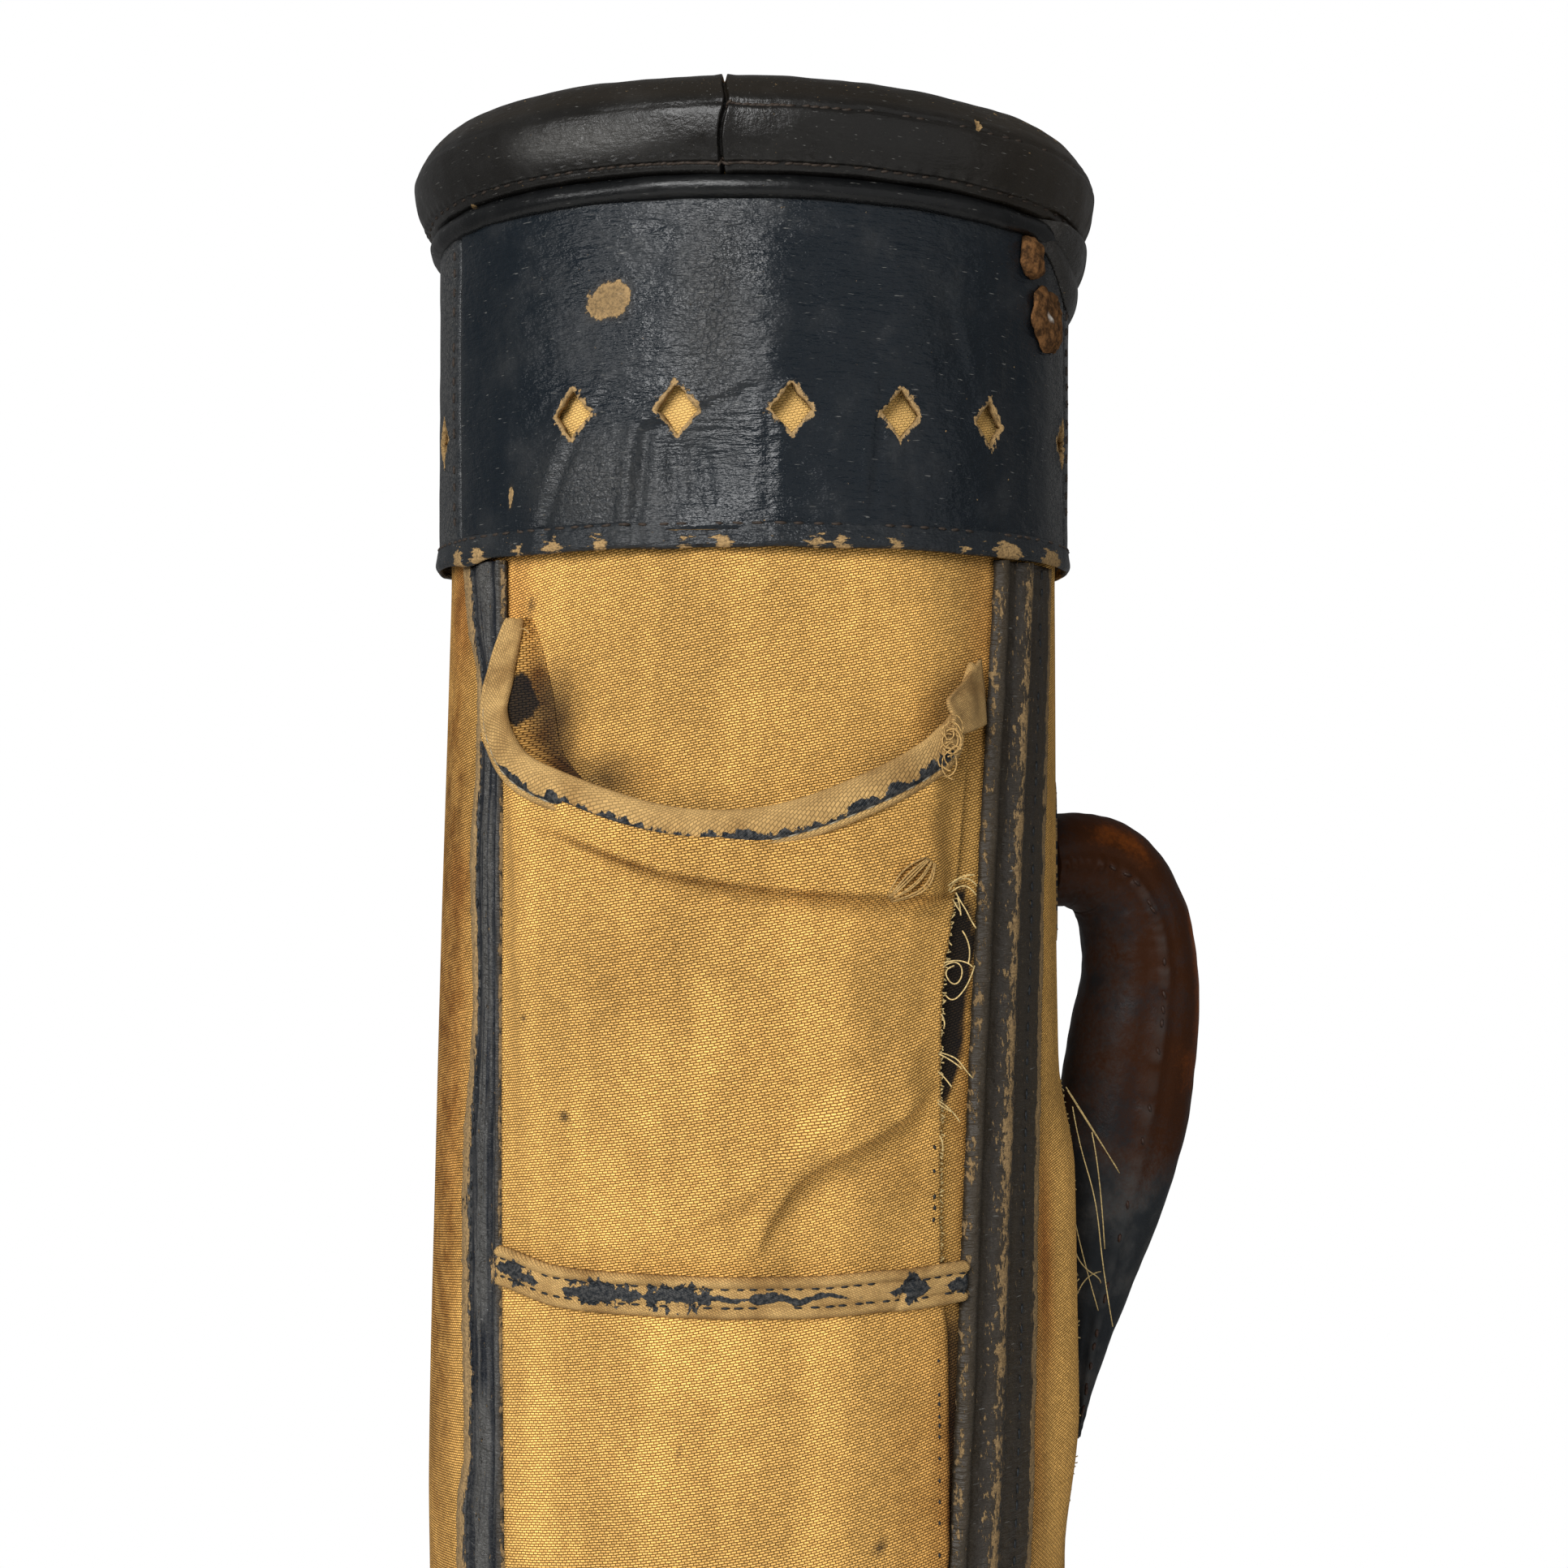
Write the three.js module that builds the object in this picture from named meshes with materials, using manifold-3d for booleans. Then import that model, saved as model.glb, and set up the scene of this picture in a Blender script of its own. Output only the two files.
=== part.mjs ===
// Old canvas and leather golf bag, standing upright.
// Millimetres and degrees. +Z is up and the front faces -Y. The origin is the middle of the base's underside.
// Azimuth runs from the front (0) towards +X (90).

import * as THREE from "three";
import { mergeVertices } from "three/addons/utils/BufferGeometryUtils.js";
import Module from "manifold-3d";

const wasm = await Module();
wasm.setup();

// Driving sizes
const HEIGHT = 864; // floor to the top of the rim, at the axis
const GAP = 0.3; // clearance between pieces that lie on each other
const CANVAS = 2; // body cloth with its stiffening
const POCKET_CLOTH = 1.5;
const LEATHER = 2.2;
const MOUTH_TILT = 0.75; // the mouth dips towards the handle
const RING_STEPS = 48;
const COLUMN_DEGREES = 7.2; // widest facet of a curved wall

const RIM_RADIUS = 83;
const RIM_THICK = 18;
const RIM_UP = 14.5; // from the widest line of the roll to its top
const RIM_DOWN = 7.2;
const RIM_STEPS = 14;
const PIPING_RADIUS = 2;
const PIPING_STEPS = 6;

const COLLAR_RADIUS = 77;
const COLLAR_HEIGHT = 75;
const COLLAR_SEAM = { left: -62, right: 74 };
const COLLAR_FRONT = { columns: 24, rows: 6 };
const COLLAR_BACK = { columns: 32, rows: 1 };
const HEM_HEIGHT = 5.5;
const HEM_PROUD = 0.5;
const HEM_ROUND = 1.2;

const BASE_RADIUS = 78;
const BASE_THICK = 6;
const BASE_ROUND = 1.5;
const CUFF_HEIGHT = 70;

// Heights worked out from the sizes above
const RIM_MIDDLE = HEIGHT - RIM_UP;
const RIM_FOOT = RIM_MIDDLE - RIM_DOWN;
const PIPING_MIDDLE = RIM_FOOT - GAP - PIPING_RADIUS;
const COLLAR_TOP = PIPING_MIDDLE - PIPING_RADIUS - GAP;
const COLLAR_FOOT = COLLAR_TOP - COLLAR_HEIGHT;
const WALL_TOP = RIM_FOOT - GAP;
const WALL_FOOT = BASE_THICK + GAP;
const CUFF_TOP = WALL_FOOT + CUFF_HEIGHT;
const STRIP_FOOT = CUFF_TOP + GAP;
const STRIP_TOP = COLLAR_FOOT - GAP;

// Body wall: outside radius, the azimuth of the two long seams under the strips, and how far the axis wanders
const BODY = [
  { z: WALL_FOOT, radius: 75.6, left: -45, right: 40, shift: 0 },
  { z: 300, radius: 77.5, left: -46, right: 41, shift: -0.2 },
  { z: 522, radius: 78.3, left: -48.5, right: 44, shift: -0.6 },
  { z: 545, radius: 78.5, left: -49, right: 45.2, shift: -0.5 },
  { z: 623, radius: 76.9, left: -51, right: 49.4, shift: -0.5 },
  { z: 676, radius: 75.6, left: -52.5, right: 52.7, shift: -0.2 },
  { z: 744, radius: 74.3, left: -54.4, right: 56.9, shift: 0.7 },
  { z: COLLAR_FOOT, radius: 74, left: -55, right: 58, shift: 0.9 },
  { z: COLLAR_TOP, radius: 74, left: -55, right: 58, shift: 1.1 },
  { z: WALL_TOP, radius: 74, left: -55, right: 58, shift: 1.1 },
];
const WALL_HEAD = BODY[BODY.length - 1];

// Slack canvas beside the handle, which stands off as a low bulge
const SIDE_BULGE = { azimuth: 79, half: 15, foot: 535, top: 648, height: 3.2 };
const BULGE_LEVELS = [570, 597, 648];

// Leather strips: ridges across the width, as shares of it
const STRIPS = {
  left: {
    width: 20,
    steps: 12,
    ridges: [
      { across: 0.12, half: 0.14, height: 1.4 },
      { across: 0.66, half: 0.36, height: 0.7 },
    ],
  },
  right: {
    width: 29,
    steps: 14,
    ridges: [
      { across: 0.1, half: 0.12, height: 1.5 },
      { across: 0.44, half: 0.24, height: 1.8 },
      { across: 0.84, half: 0.2, height: 0.5 },
    ],
  },
};
const STRIP_THICK = 1.4;

// Diamond holes through the collar
const HOLE = { z: 792.5, halfWide: 4.6, halfTall: 5.3, depth: 14, pitch: 18.4 };
const HOLE_COUNT = 5;
const HOLE_FACES = [6.6, 186.6]; // middle of each row of five
const HOLE_SINGLES = [-71, 71, 125, 248];

// Dents and swellings of the collar's leather
const DENTS = [
  { azimuth: -4, z: 782, halfWide: 16, halfTall: 15, depth: 0.9 },
  { azimuth: 8.5, z: 815, halfWide: 6, halfTall: 26, depth: 0.6 },
  { azimuth: -34, z: 784, halfWide: 20, halfTall: 18, depth: -0.8 },
  { azimuth: 36, z: 785, halfWide: 18, halfTall: 16, depth: -0.7 },
];

// Ball pocket
const POCKET_FOOT = 603.2;
const POCKET_ROWS = 15;
const POCKET_COLUMNS = 18;
const POCKET_BELLY = 6.5; // how far the slack front stands off half way up
const POCKET_EDGE = 0.4; // how far its sewn edges stand off
// Shares of the pocket's height and width over which it leaves its sewn edges
const POCKET_EASE = { foot: 0.07, rise: 0.35, leftFree: 0.72, leftHeld: 0.1, rightHeld: 0.88 };
const POCKET_HEAD = { left: 724, right: 720 }; // heights of its top corners
const POCKET_RIGHT = [
  { z: STRIP_FOOT, azimuth: 27.5 },
  { z: 520, azimuth: 31.5 },
  { z: 600, azimuth: 33 },
  { z: 664, azimuth: 34.3 },
  { z: 700, azimuth: 38 },
  { z: 744, azimuth: 41 },
];
// Middle line of the mouth's binding; off is how far it stands off the body
const MOUTH = [
  { azimuth: -43.3, z: 749, off: 2.4 },
  { azimuth: -43.9, z: 738, off: 5 },
  { azimuth: -43.4, z: 727, off: 7.4 },
  { azimuth: -37, z: 717, off: 10 },
  { azimuth: -28, z: 711.5, off: 10.5 },
  { azimuth: -15, z: 705.5, off: 10 },
  { azimuth: -5.5, z: 703.5, off: 9.5 },
  { azimuth: 5, z: 704.7, off: 9 },
  { azimuth: 17, z: 710.5, off: 8.5 },
  { azimuth: 30.5, z: 719.5, off: 6.8 },
  { azimuth: 35.5, z: 727, off: 4.8 },
  { azimuth: 40.3, z: 738.5, off: 2.4 },
];
const MOUTH_RUN = MOUTH.slice(2, 11); // without the two steep ends
const MOUTH_EASE = 1; // from the binding to the cloth's edge
const BINDING = { halfWide: 3.4, halfThick: 1.6, around: 12, steps: 28 };
// Folds of the pocket: across runs from the left edge, up from the foot to the mouth
const FOLDS = [
  { fromAcross: 0.25, fromUp: 0.98, toAcross: 1, toUp: 0.8, half: 0.085, height: 2.2 },
  { fromAcross: 0.45, fromUp: 0.15, toAcross: 1, toUp: 0.34, half: 0.07, height: 1.8 },
];
const BAND = { foot: 598, top: 608, thick: 2 };

// Carrying handle: reach is from the body wall to the middle of the padding
const HANDLE_AZIMUTH = 108;
const HANDLE = [
  { reach: 3.6, z: 691.2, half: 11.6, wide: 11.6 },
  { reach: 13, z: 691.5, half: 12.4, wide: 12.4 },
  { reach: 23, z: 687.5, half: 13.4, wide: 13.4 },
  { reach: 29.7, z: 676, half: 14.4, wide: 14.4 },
  { reach: 31.8, z: 660, half: 15.2, wide: 15 },
  { reach: 30.4, z: 640, half: 15.7, wide: 15 },
  { reach: 26, z: 615, half: 14.6, wide: 14.5 },
  { reach: 17.8, z: 590, half: 11.8, wide: 13.6 },
  { reach: 10.8, z: 567, half: 7.7, wide: 12.4 },
  { reach: 7.3, z: 550, half: 4.2, wide: 11.6 },
  { reach: 6.3, z: 541, half: 3.3, wide: 11 },
];
const HANDLE_AROUND = 16;
const HANDLE_STEPS = 20;
const TAB_DEGREES = 24;
const TAB_LEVELS = { top: [672, 712], bottom: [536, 568] };

// Rusted steel on the collar
const RUST_PLATE = { azimuth: 55, z: 832.4, wide: 8, tall: 9.6, thick: 2.6, bevel: 0.8 };
const RUST_RIVET = { azimuth: 62, z: 820.4, halfWide: 8.5, halfTall: 6, rise: 1.6, steps: 16 };

const SAME_SPOT = 1e-4;
const clamp = THREE.MathUtils.clamp;
const lerp = THREE.MathUtils.lerp;
const radians = THREE.MathUtils.degToRad;
const degrees = THREE.MathUtils.radToDeg;

// Straight-line look-up in a table that rises in its key column
function look(table, key, value, column) {
  const last = table.length - 1;
  let row = 0;
  while (row < last - 1 && value > table[row + 1][key]) row += 1;
  const from = table[row];
  const to = table[row + 1];
  const share = clamp((value - from[key]) / (to[key] - from[key]), 0, 1);
  return lerp(from[column], to[column], share);
}

// Smooth hump, 1 in the middle and 0 at the ends of -1 to 1
function hump(value) {
  const near = Math.cos(clamp(value, -1, 1) * Math.PI * 0.5);
  return near * near;
}

function bodyRadius(z) {
  return look(BODY, "z", z, "radius");
}

function arcDegrees(length, radius) {
  return degrees(length / radius);
}

// A point by azimuth, radius and height, with the axis's wander and the mouth's dip
function polar(azimuth, radius, z) {
  const x = radius * Math.sin(radians(azimuth)) + look(BODY, "z", z, "shift");
  const y = -radius * Math.cos(radians(azimuth));
  const share = clamp((z - COLLAR_FOOT) / COLLAR_HEIGHT, 0, 1);
  const dip = x * Math.tan(radians(MOUTH_TILT)) * share;
  return new THREE.Vector3(x, y, z - dip);
}

// Closed geometry of shared corners, each corner moved by a function
function warp(geometry, move) {
  geometry.deleteAttribute("normal");
  geometry.deleteAttribute("uv");
  const joined = mergeVertices(geometry, SAME_SPOT);
  const spots = joined.getAttribute("position");
  const spot = new THREE.Vector3();
  for (let index = 0; index < spots.count; index += 1) {
    spot.fromBufferAttribute(spots, index);
    const moved = move(spot);
    spots.setXYZ(index, moved.x, moved.y, moved.z);
  }
  joined.computeVertexNormals();
  return joined;
}

// A wall bent from a flat box: across and up run 0 to 1, out is 0 inside and 1 outside
function wall(columns, rows, place) {
  const box = new THREE.BoxGeometry(1, 1, 1, columns, rows, 1);
  return warp(box, (spot) => place(spot.x + 0.5, spot.y + 0.5, spot.z + 0.5));
}

// A ring turned from a closed outline of radius and height
function ring(outline, steps) {
  const closed = [...outline, outline[0]].map((row) => new THREE.Vector2(row.radius, row.z));
  const turned = new THREE.LatheGeometry(closed, steps);
  return warp(turned, (spot) => {
    const radius = Math.hypot(spot.x, spot.z);
    const azimuth = degrees(Math.atan2(spot.x, spot.z));
    return polar(azimuth, radius, spot.y);
  });
}

// Heights of the wall's own sections between two levels
function levelsBetween(foot, top, extra = []) {
  const inside = [...BODY.map((row) => row.z), ...extra];
  const kept = inside.filter((z) => z > foot + 1 && z < top - 1);
  return [foot, ...kept.sort((one, two) => one - two), top];
}

function levelAt(levels, up) {
  const place = clamp(up, 0, 1) * (levels.length - 1);
  const row = Math.min(Math.floor(place), levels.length - 2);
  return lerp(levels[row], levels[row + 1], place - row);
}

function columnsFor(span) {
  return Math.ceil(span / COLUMN_DEGREES);
}

function seamEdge(side, z, way) {
  const half = STRIPS[side].width / 2 + GAP;
  return look(BODY, "z", z, side) + way * arcDegrees(half, bodyRadius(z));
}

function sideBulge(azimuth, z) {
  const middle = (SIDE_BULGE.foot + SIDE_BULGE.top) / 2;
  const tall = (SIDE_BULGE.top - SIDE_BULGE.foot) / 2;
  const across = hump((azimuth - SIDE_BULGE.azimuth) / SIDE_BULGE.half);
  return SIDE_BULGE.height * across * hump((z - middle) / tall);
}

// Canvas walls
const SEAM_GAP = arcDegrees(GAP / 2, BODY[0].radius);

function frontPanel() {
  const levels = levelsBetween(WALL_FOOT, WALL_TOP);
  const columns = columnsFor(WALL_HEAD.right - WALL_HEAD.left);
  return wall(columns, levels.length - 1, (across, up, out) => {
    const z = levelAt(levels, up);
    const left = look(BODY, "z", z, "left") + SEAM_GAP;
    const right = look(BODY, "z", z, "right") - SEAM_GAP;
    return polar(lerp(left, right, across), bodyRadius(z) - CANVAS * (1 - out), z);
  });
}

function backPanel() {
  const levels = levelsBetween(WALL_FOOT, WALL_TOP, BULGE_LEVELS);
  const columns = columnsFor(360 - BODY[0].right + BODY[0].left);
  return wall(columns, levels.length - 1, (across, up, out) => {
    const z = levelAt(levels, up);
    const left = look(BODY, "z", z, "right") + SEAM_GAP;
    const right = look(BODY, "z", z, "left") + 360 - SEAM_GAP;
    const azimuth = lerp(left, right, across);
    const radius = bodyRadius(z) + sideBulge(azimuth, z);
    return polar(azimuth, radius - CANVAS * (1 - out), z);
  });
}

function strip(side) {
  const { width, steps, ridges } = STRIPS[side];
  const levels = levelsBetween(STRIP_FOOT, STRIP_TOP);
  return wall(steps, levels.length - 1, (across, up, out) => {
    const z = levelAt(levels, up);
    const radius = bodyRadius(z);
    const azimuth = look(BODY, "z", z, side) + arcDegrees((across - 0.5) * width, radius);
    let thick = STRIP_THICK;
    for (const row of ridges) thick += row.height * hump((across - row.across) / row.half);
    return polar(azimuth, radius + GAP + out * thick, z);
  });
}

// Pocket
function mouthRow(azimuth, column) {
  return look(MOUTH_RUN, "azimuth", azimuth, column);
}

function pocketTop(azimuth) {
  const step = 2;
  const reach = radians(2 * step) * (COLLAR_RADIUS + POCKET_BELLY);
  const first = MOUTH_RUN[0].azimuth + step;
  const last = MOUTH_RUN[MOUTH_RUN.length - 1].azimuth - step;
  const held = clamp(azimuth, first, last);
  const slope = (mouthRow(held + step, "z") - mouthRow(held - step, "z")) / reach;
  const drop = (BINDING.halfWide + MOUTH_EASE) * Math.hypot(1, slope);
  return mouthRow(azimuth, "z") - drop;
}

function foldHeight(across, up) {
  let height = 0;
  for (const row of FOLDS) {
    const share = (across - row.fromAcross) / (row.toAcross - row.fromAcross);
    const line = lerp(row.fromUp, row.toUp, share);
    const reach = hump(2 * clamp(share, 0, 1) - 1);
    height += row.height * reach * hump((up - line) / row.half);
  }
  return height;
}

function pocketOff(across, up, azimuth) {
  const mouth = mouthRow(azimuth, "off") - POCKET_CLOTH / 2;
  const belly = POCKET_BELLY * Math.sin(Math.PI * across);
  const rise = Math.sin(0.5 * Math.PI * clamp((up - POCKET_EASE.foot) / POCKET_EASE.rise, 0, 1));
  const leftFree = THREE.MathUtils.smoothstep(up, POCKET_EASE.leftFree, 1);
  const leftEdge = lerp(THREE.MathUtils.smoothstep(across, 0, POCKET_EASE.leftHeld), 1, leftFree);
  const rightEdge = 1 - THREE.MathUtils.smoothstep(across, POCKET_EASE.rightHeld, 1);
  const slack = lerp(belly, mouth, up * up) + foldHeight(across, up);
  return POCKET_EDGE + slack * rise * leftEdge * rightEdge;
}

function pocketPanel() {
  return wall(POCKET_COLUMNS, POCKET_ROWS, (across, up, out) => {
    const headLeft = seamEdge("left", POCKET_HEAD.left, 1);
    const headRight = look(POCKET_RIGHT, "z", POCKET_HEAD.right, "azimuth");
    const z = lerp(POCKET_FOOT, pocketTop(lerp(headLeft, headRight, across)), up);
    const azimuth = lerp(seamEdge("left", z, 1), look(POCKET_RIGHT, "z", z, "azimuth"), across);
    const radius = bodyRadius(z) + pocketOff(across, up, azimuth) + out * POCKET_CLOTH;
    return polar(azimuth, radius, z);
  });
}

// A padded bar along a curve; size gives the half thickness and half width at a share of its length
function bar(curve, around, steps, outward, size) {
  const rod = new THREE.CylinderGeometry(1, 1, 1, around, steps);
  return warp(rod, (spot) => {
    const share = clamp(spot.y + 0.5, 0, 1);
    const along = curve.getTangent(share);
    const middle = curve.getPoint(share);
    const out = outward(middle, along);
    out.addScaledVector(along, -out.dot(along)).normalize();
    const side = new THREE.Vector3().crossVectors(out, along);
    const { half, wide } = size(share);
    return middle.addScaledVector(out, spot.x * half).addScaledVector(side, spot.z * wide);
  });
}

function pocketBinding() {
  const spots = MOUTH.map((row) => polar(row.azimuth, bodyRadius(row.z) + row.off, row.z));
  const curve = new THREE.CatmullRomCurve3(spots);
  const outward = (spot) => new THREE.Vector3(spot.x, spot.y, 0).normalize();
  const size = () => ({ half: BINDING.halfThick, wide: BINDING.halfWide });
  return bar(curve, BINDING.around, BINDING.steps, outward, size);
}

function pocketBand() {
  const levels = [BAND.foot, BAND.top];
  const columns = columnsFor(WALL_HEAD.right - WALL_HEAD.left);
  const off = POCKET_EDGE + POCKET_CLOTH + GAP;
  return wall(columns, 1, (across, up, out) => {
    const z = levelAt(levels, up);
    const azimuth = lerp(seamEdge("left", z, 1), seamEdge("right", z, -1), across);
    return polar(azimuth, bodyRadius(z) + off + out * BAND.thick, z);
  });
}

function lowerPanel() {
  const levels = levelsBetween(STRIP_FOOT, POCKET_FOOT - GAP);
  const columns = columnsFor(WALL_HEAD.right - WALL_HEAD.left);
  return wall(columns, levels.length - 1, (across, up, out) => {
    const z = levelAt(levels, up);
    const azimuth = lerp(seamEdge("left", z, 1), look(POCKET_RIGHT, "z", z, "azimuth"), across);
    return polar(azimuth, bodyRadius(z) + POCKET_EDGE + out * POCKET_CLOTH, z);
  });
}

// Collar
function solidOf(geometry) {
  const vertProperties = new Float32Array(geometry.getAttribute("position").array);
  const triVerts = new Uint32Array(geometry.index.array);
  return new wasm.Manifold(new wasm.Mesh({ numProp: 3, vertProperties, triVerts }));
}

function geometryOf(solid) {
  const { vertProperties, triVerts } = solid.getMesh();
  const geometry = new THREE.BufferGeometry();
  geometry.setAttribute("position", new THREE.BufferAttribute(new Float32Array(vertProperties), 3));
  geometry.setIndex(new THREE.BufferAttribute(new Uint32Array(triVerts), 1));
  geometry.computeVertexNormals();
  return geometry;
}

function diamond(azimuth) {
  const side = Math.SQRT2;
  const prism = new THREE.BoxGeometry(side, HOLE.depth, side);
  prism.rotateY(Math.PI / 4);
  prism.scale(HOLE.halfWide, 1, HOLE.halfTall);
  prism.rotateZ(radians(azimuth));
  const middle = polar(azimuth, COLLAR_RADIUS, HOLE.z);
  return warp(prism, (spot) => spot.add(middle));
}

function holeAzimuths() {
  const azimuths = [...HOLE_SINGLES];
  for (const face of HOLE_FACES) {
    for (let index = 0; index < HOLE_COUNT; index += 1) {
      azimuths.push(face + (index - (HOLE_COUNT - 1) / 2) * HOLE.pitch);
    }
  }
  return azimuths;
}

function dentDepth(azimuth, z) {
  let depth = 0;
  for (const row of DENTS) {
    depth += row.depth * hump((azimuth - row.azimuth) / row.halfWide) * hump((z - row.z) / row.halfTall);
  }
  return depth;
}

function collarPiece(left, right, { columns, rows }) {
  const foot = COLLAR_FOOT + HEM_HEIGHT + GAP;
  const seam = arcDegrees(GAP / 2, COLLAR_RADIUS);
  const sheet = wall(columns, rows, (across, up, out) => {
    const azimuth = lerp(left + seam, right - seam, across);
    const z = lerp(foot, COLLAR_TOP, up);
    const outside = COLLAR_RADIUS - dentDepth(azimuth, z);
    return polar(azimuth, out > 0.5 ? outside : COLLAR_RADIUS - LEATHER, z);
  });
  let solid = solidOf(sheet);
  for (const azimuth of holeAzimuths()) {
    const turned = azimuth < left ? azimuth + 360 : azimuth;
    if (turned > left && turned < right) solid = solid.subtract(solidOf(diamond(azimuth)));
  }
  return geometryOf(solid);
}

function collarHem() {
  const inside = COLLAR_RADIUS - LEATHER;
  const outside = COLLAR_RADIUS + HEM_PROUD;
  const top = COLLAR_FOOT + HEM_HEIGHT;
  return ring(
    [
      { radius: inside, z: COLLAR_FOOT },
      { radius: outside - HEM_ROUND, z: COLLAR_FOOT },
      { radius: outside, z: COLLAR_FOOT + HEM_ROUND },
      { radius: outside, z: top - HEM_ROUND },
      { radius: outside - HEM_ROUND, z: top },
      { radius: inside, z: top },
    ],
    RING_STEPS
  );
}

// Rim
function roundOutline(steps, middle, z, half, up, down) {
  const outline = [];
  for (let index = 0; index < steps; index += 1) {
    const turn = (2 * Math.PI * index) / steps;
    const rise = Math.sin(turn) > 0 ? up : down;
    outline.push({ radius: middle + half * Math.cos(turn), z: z + rise * Math.sin(turn) });
  }
  return outline;
}

function rimRoll() {
  const half = RIM_THICK / 2;
  return ring(roundOutline(RIM_STEPS, RIM_RADIUS - half, RIM_MIDDLE, half, RIM_UP, RIM_DOWN), RING_STEPS);
}

function rimPiping() {
  const middle = WALL_HEAD.radius + GAP + PIPING_RADIUS;
  const rise = PIPING_RADIUS;
  return ring(roundOutline(PIPING_STEPS, middle, PIPING_MIDDLE, PIPING_RADIUS, rise, rise), RING_STEPS);
}

// Foot
function baseCuff() {
  const rows = [WALL_FOOT, CUFF_TOP].map((z) => ({ z, inside: bodyRadius(z) + GAP }));
  const [foot, top] = rows;
  return ring(
    [
      { radius: foot.inside, z: foot.z },
      { radius: foot.inside + LEATHER, z: foot.z },
      { radius: top.inside + LEATHER, z: top.z },
      { radius: top.inside, z: top.z },
    ],
    RING_STEPS
  );
}

function baseDisc() {
  const outline = [
    [0, 0],
    [BASE_RADIUS - BASE_ROUND, 0],
    [BASE_RADIUS, BASE_ROUND],
    [BASE_RADIUS, BASE_THICK - BASE_ROUND],
    [BASE_RADIUS - BASE_ROUND, BASE_THICK],
    [0, BASE_THICK],
  ].map(([radius, z]) => new THREE.Vector2(radius, z));
  const turned = new THREE.LatheGeometry(outline, RING_STEPS);
  turned.rotateX(Math.PI / 2);
  return warp(turned, (spot) => spot);
}

// Handle
function handleLoop() {
  const spots = HANDLE.map((row) => polar(HANDLE_AZIMUTH, bodyRadius(row.z) + row.reach, row.z));
  const curve = new THREE.CatmullRomCurve3(spots);
  const last = HANDLE.length - 1;
  const rows = HANDLE.map((row, index) => ({ ...row, share: index / last }));
  const side = new THREE.Vector3(Math.cos(radians(HANDLE_AZIMUTH)), Math.sin(radians(HANDLE_AZIMUTH)), 0);
  const outward = (middle, along) => new THREE.Vector3().crossVectors(along, side);
  const size = (share) => ({
    half: look(rows, "share", share, "half"),
    wide: look(rows, "share", share, "wide"),
  });
  return bar(curve, HANDLE_AROUND, HANDLE_STEPS, outward, size);
}

function handleTab([foot, top]) {
  const levels = levelsBetween(foot, top);
  return wall(columnsFor(TAB_DEGREES), levels.length - 1, (across, up, out) => {
    const z = levelAt(levels, up);
    const azimuth = HANDLE_AZIMUTH + (across - 0.5) * TAB_DEGREES;
    return polar(azimuth, bodyRadius(z) + GAP + out * LEATHER, z);
  });
}

// Rusted steel
function rustPlate() {
  const { wide, tall, thick, bevel } = RUST_PLATE;
  const outline = new THREE.Shape().absellipse(0, 0, wide / 2 - bevel, tall / 2 - bevel, 0, 2 * Math.PI);
  const plate = new THREE.ExtrudeGeometry(outline, {
    depth: thick - 2 * bevel,
    bevelThickness: bevel,
    bevelSize: bevel,
    bevelSegments: 1,
    curveSegments: 8,
  });
  plate.rotateX(Math.PI / 2);
  plate.translate(0, -bevel, 0);
  return warp(plate, (spot) => spot);
}

function rustRivet() {
  const { halfWide, halfTall, rise, steps } = RUST_RIVET;
  const outline = [new THREE.Vector2(0, 0), new THREE.Vector2(1, 0)];
  for (const turn of [22, 45, 68]) {
    const share = radians(turn);
    outline.push(new THREE.Vector2(Math.cos(share), rise * Math.sin(share)));
  }
  outline.push(new THREE.Vector2(0, rise));
  const dome = new THREE.LatheGeometry(outline, steps);
  dome.rotateX(Math.PI);
  dome.scale(halfWide, 1, halfTall);
  return warp(dome, (spot) => {
    spot.y += COLLAR_RADIUS - Math.sqrt(COLLAR_RADIUS ** 2 - spot.x ** 2);
    return spot;
  });
}

// Materials
const LOOKS = {
  leather_black: { color: "#23242b", roughness: 0.5, metalness: 0 },
  leather_brown: { color: "#3b2a26", roughness: 0.5, metalness: 0 },
  canvas_ochre: { color: "#a5834d", roughness: 0.9, metalness: 0 },
  rusted_steel: { color: "#6b4634", roughness: 0.8, metalness: 0.4 },
};

function piece(name, geometry, finish) {
  const mesh = new THREE.Mesh(geometry, new THREE.MeshStandardMaterial(LOOKS[finish]));
  mesh.name = name;
  return mesh;
}

function group(name, pieces, azimuth = 0, shift = 0) {
  const made = new THREE.Group();
  made.name = name;
  made.position.x = shift;
  made.rotation.z = radians(azimuth);
  made.add(...pieces);
  return made;
}

const body = group("body", [
  piece("front_panel", frontPanel(), "canvas_ochre"),
  piece("back_panel", backPanel(), "canvas_ochre"),
  piece("strip_left", strip("left"), "leather_black"),
  piece("strip_right", strip("right"), "leather_black"),
]);

const pocket = group("pocket", [
  piece("pocket_panel", pocketPanel(), "canvas_ochre"),
  piece("pocket_binding", pocketBinding(), "canvas_ochre"),
  piece("pocket_band", pocketBand(), "leather_black"),
  piece("lower_panel", lowerPanel(), "canvas_ochre"),
]);

const plate = piece("rust_plate", rustPlate(), "rusted_steel");
plate.position.set(0, -(COLLAR_RADIUS + GAP), RUST_PLATE.z);
const rivet = piece("rust_rivet", rustRivet(), "rusted_steel");
rivet.position.set(0, -(COLLAR_RADIUS + GAP), RUST_RIVET.z);

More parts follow.
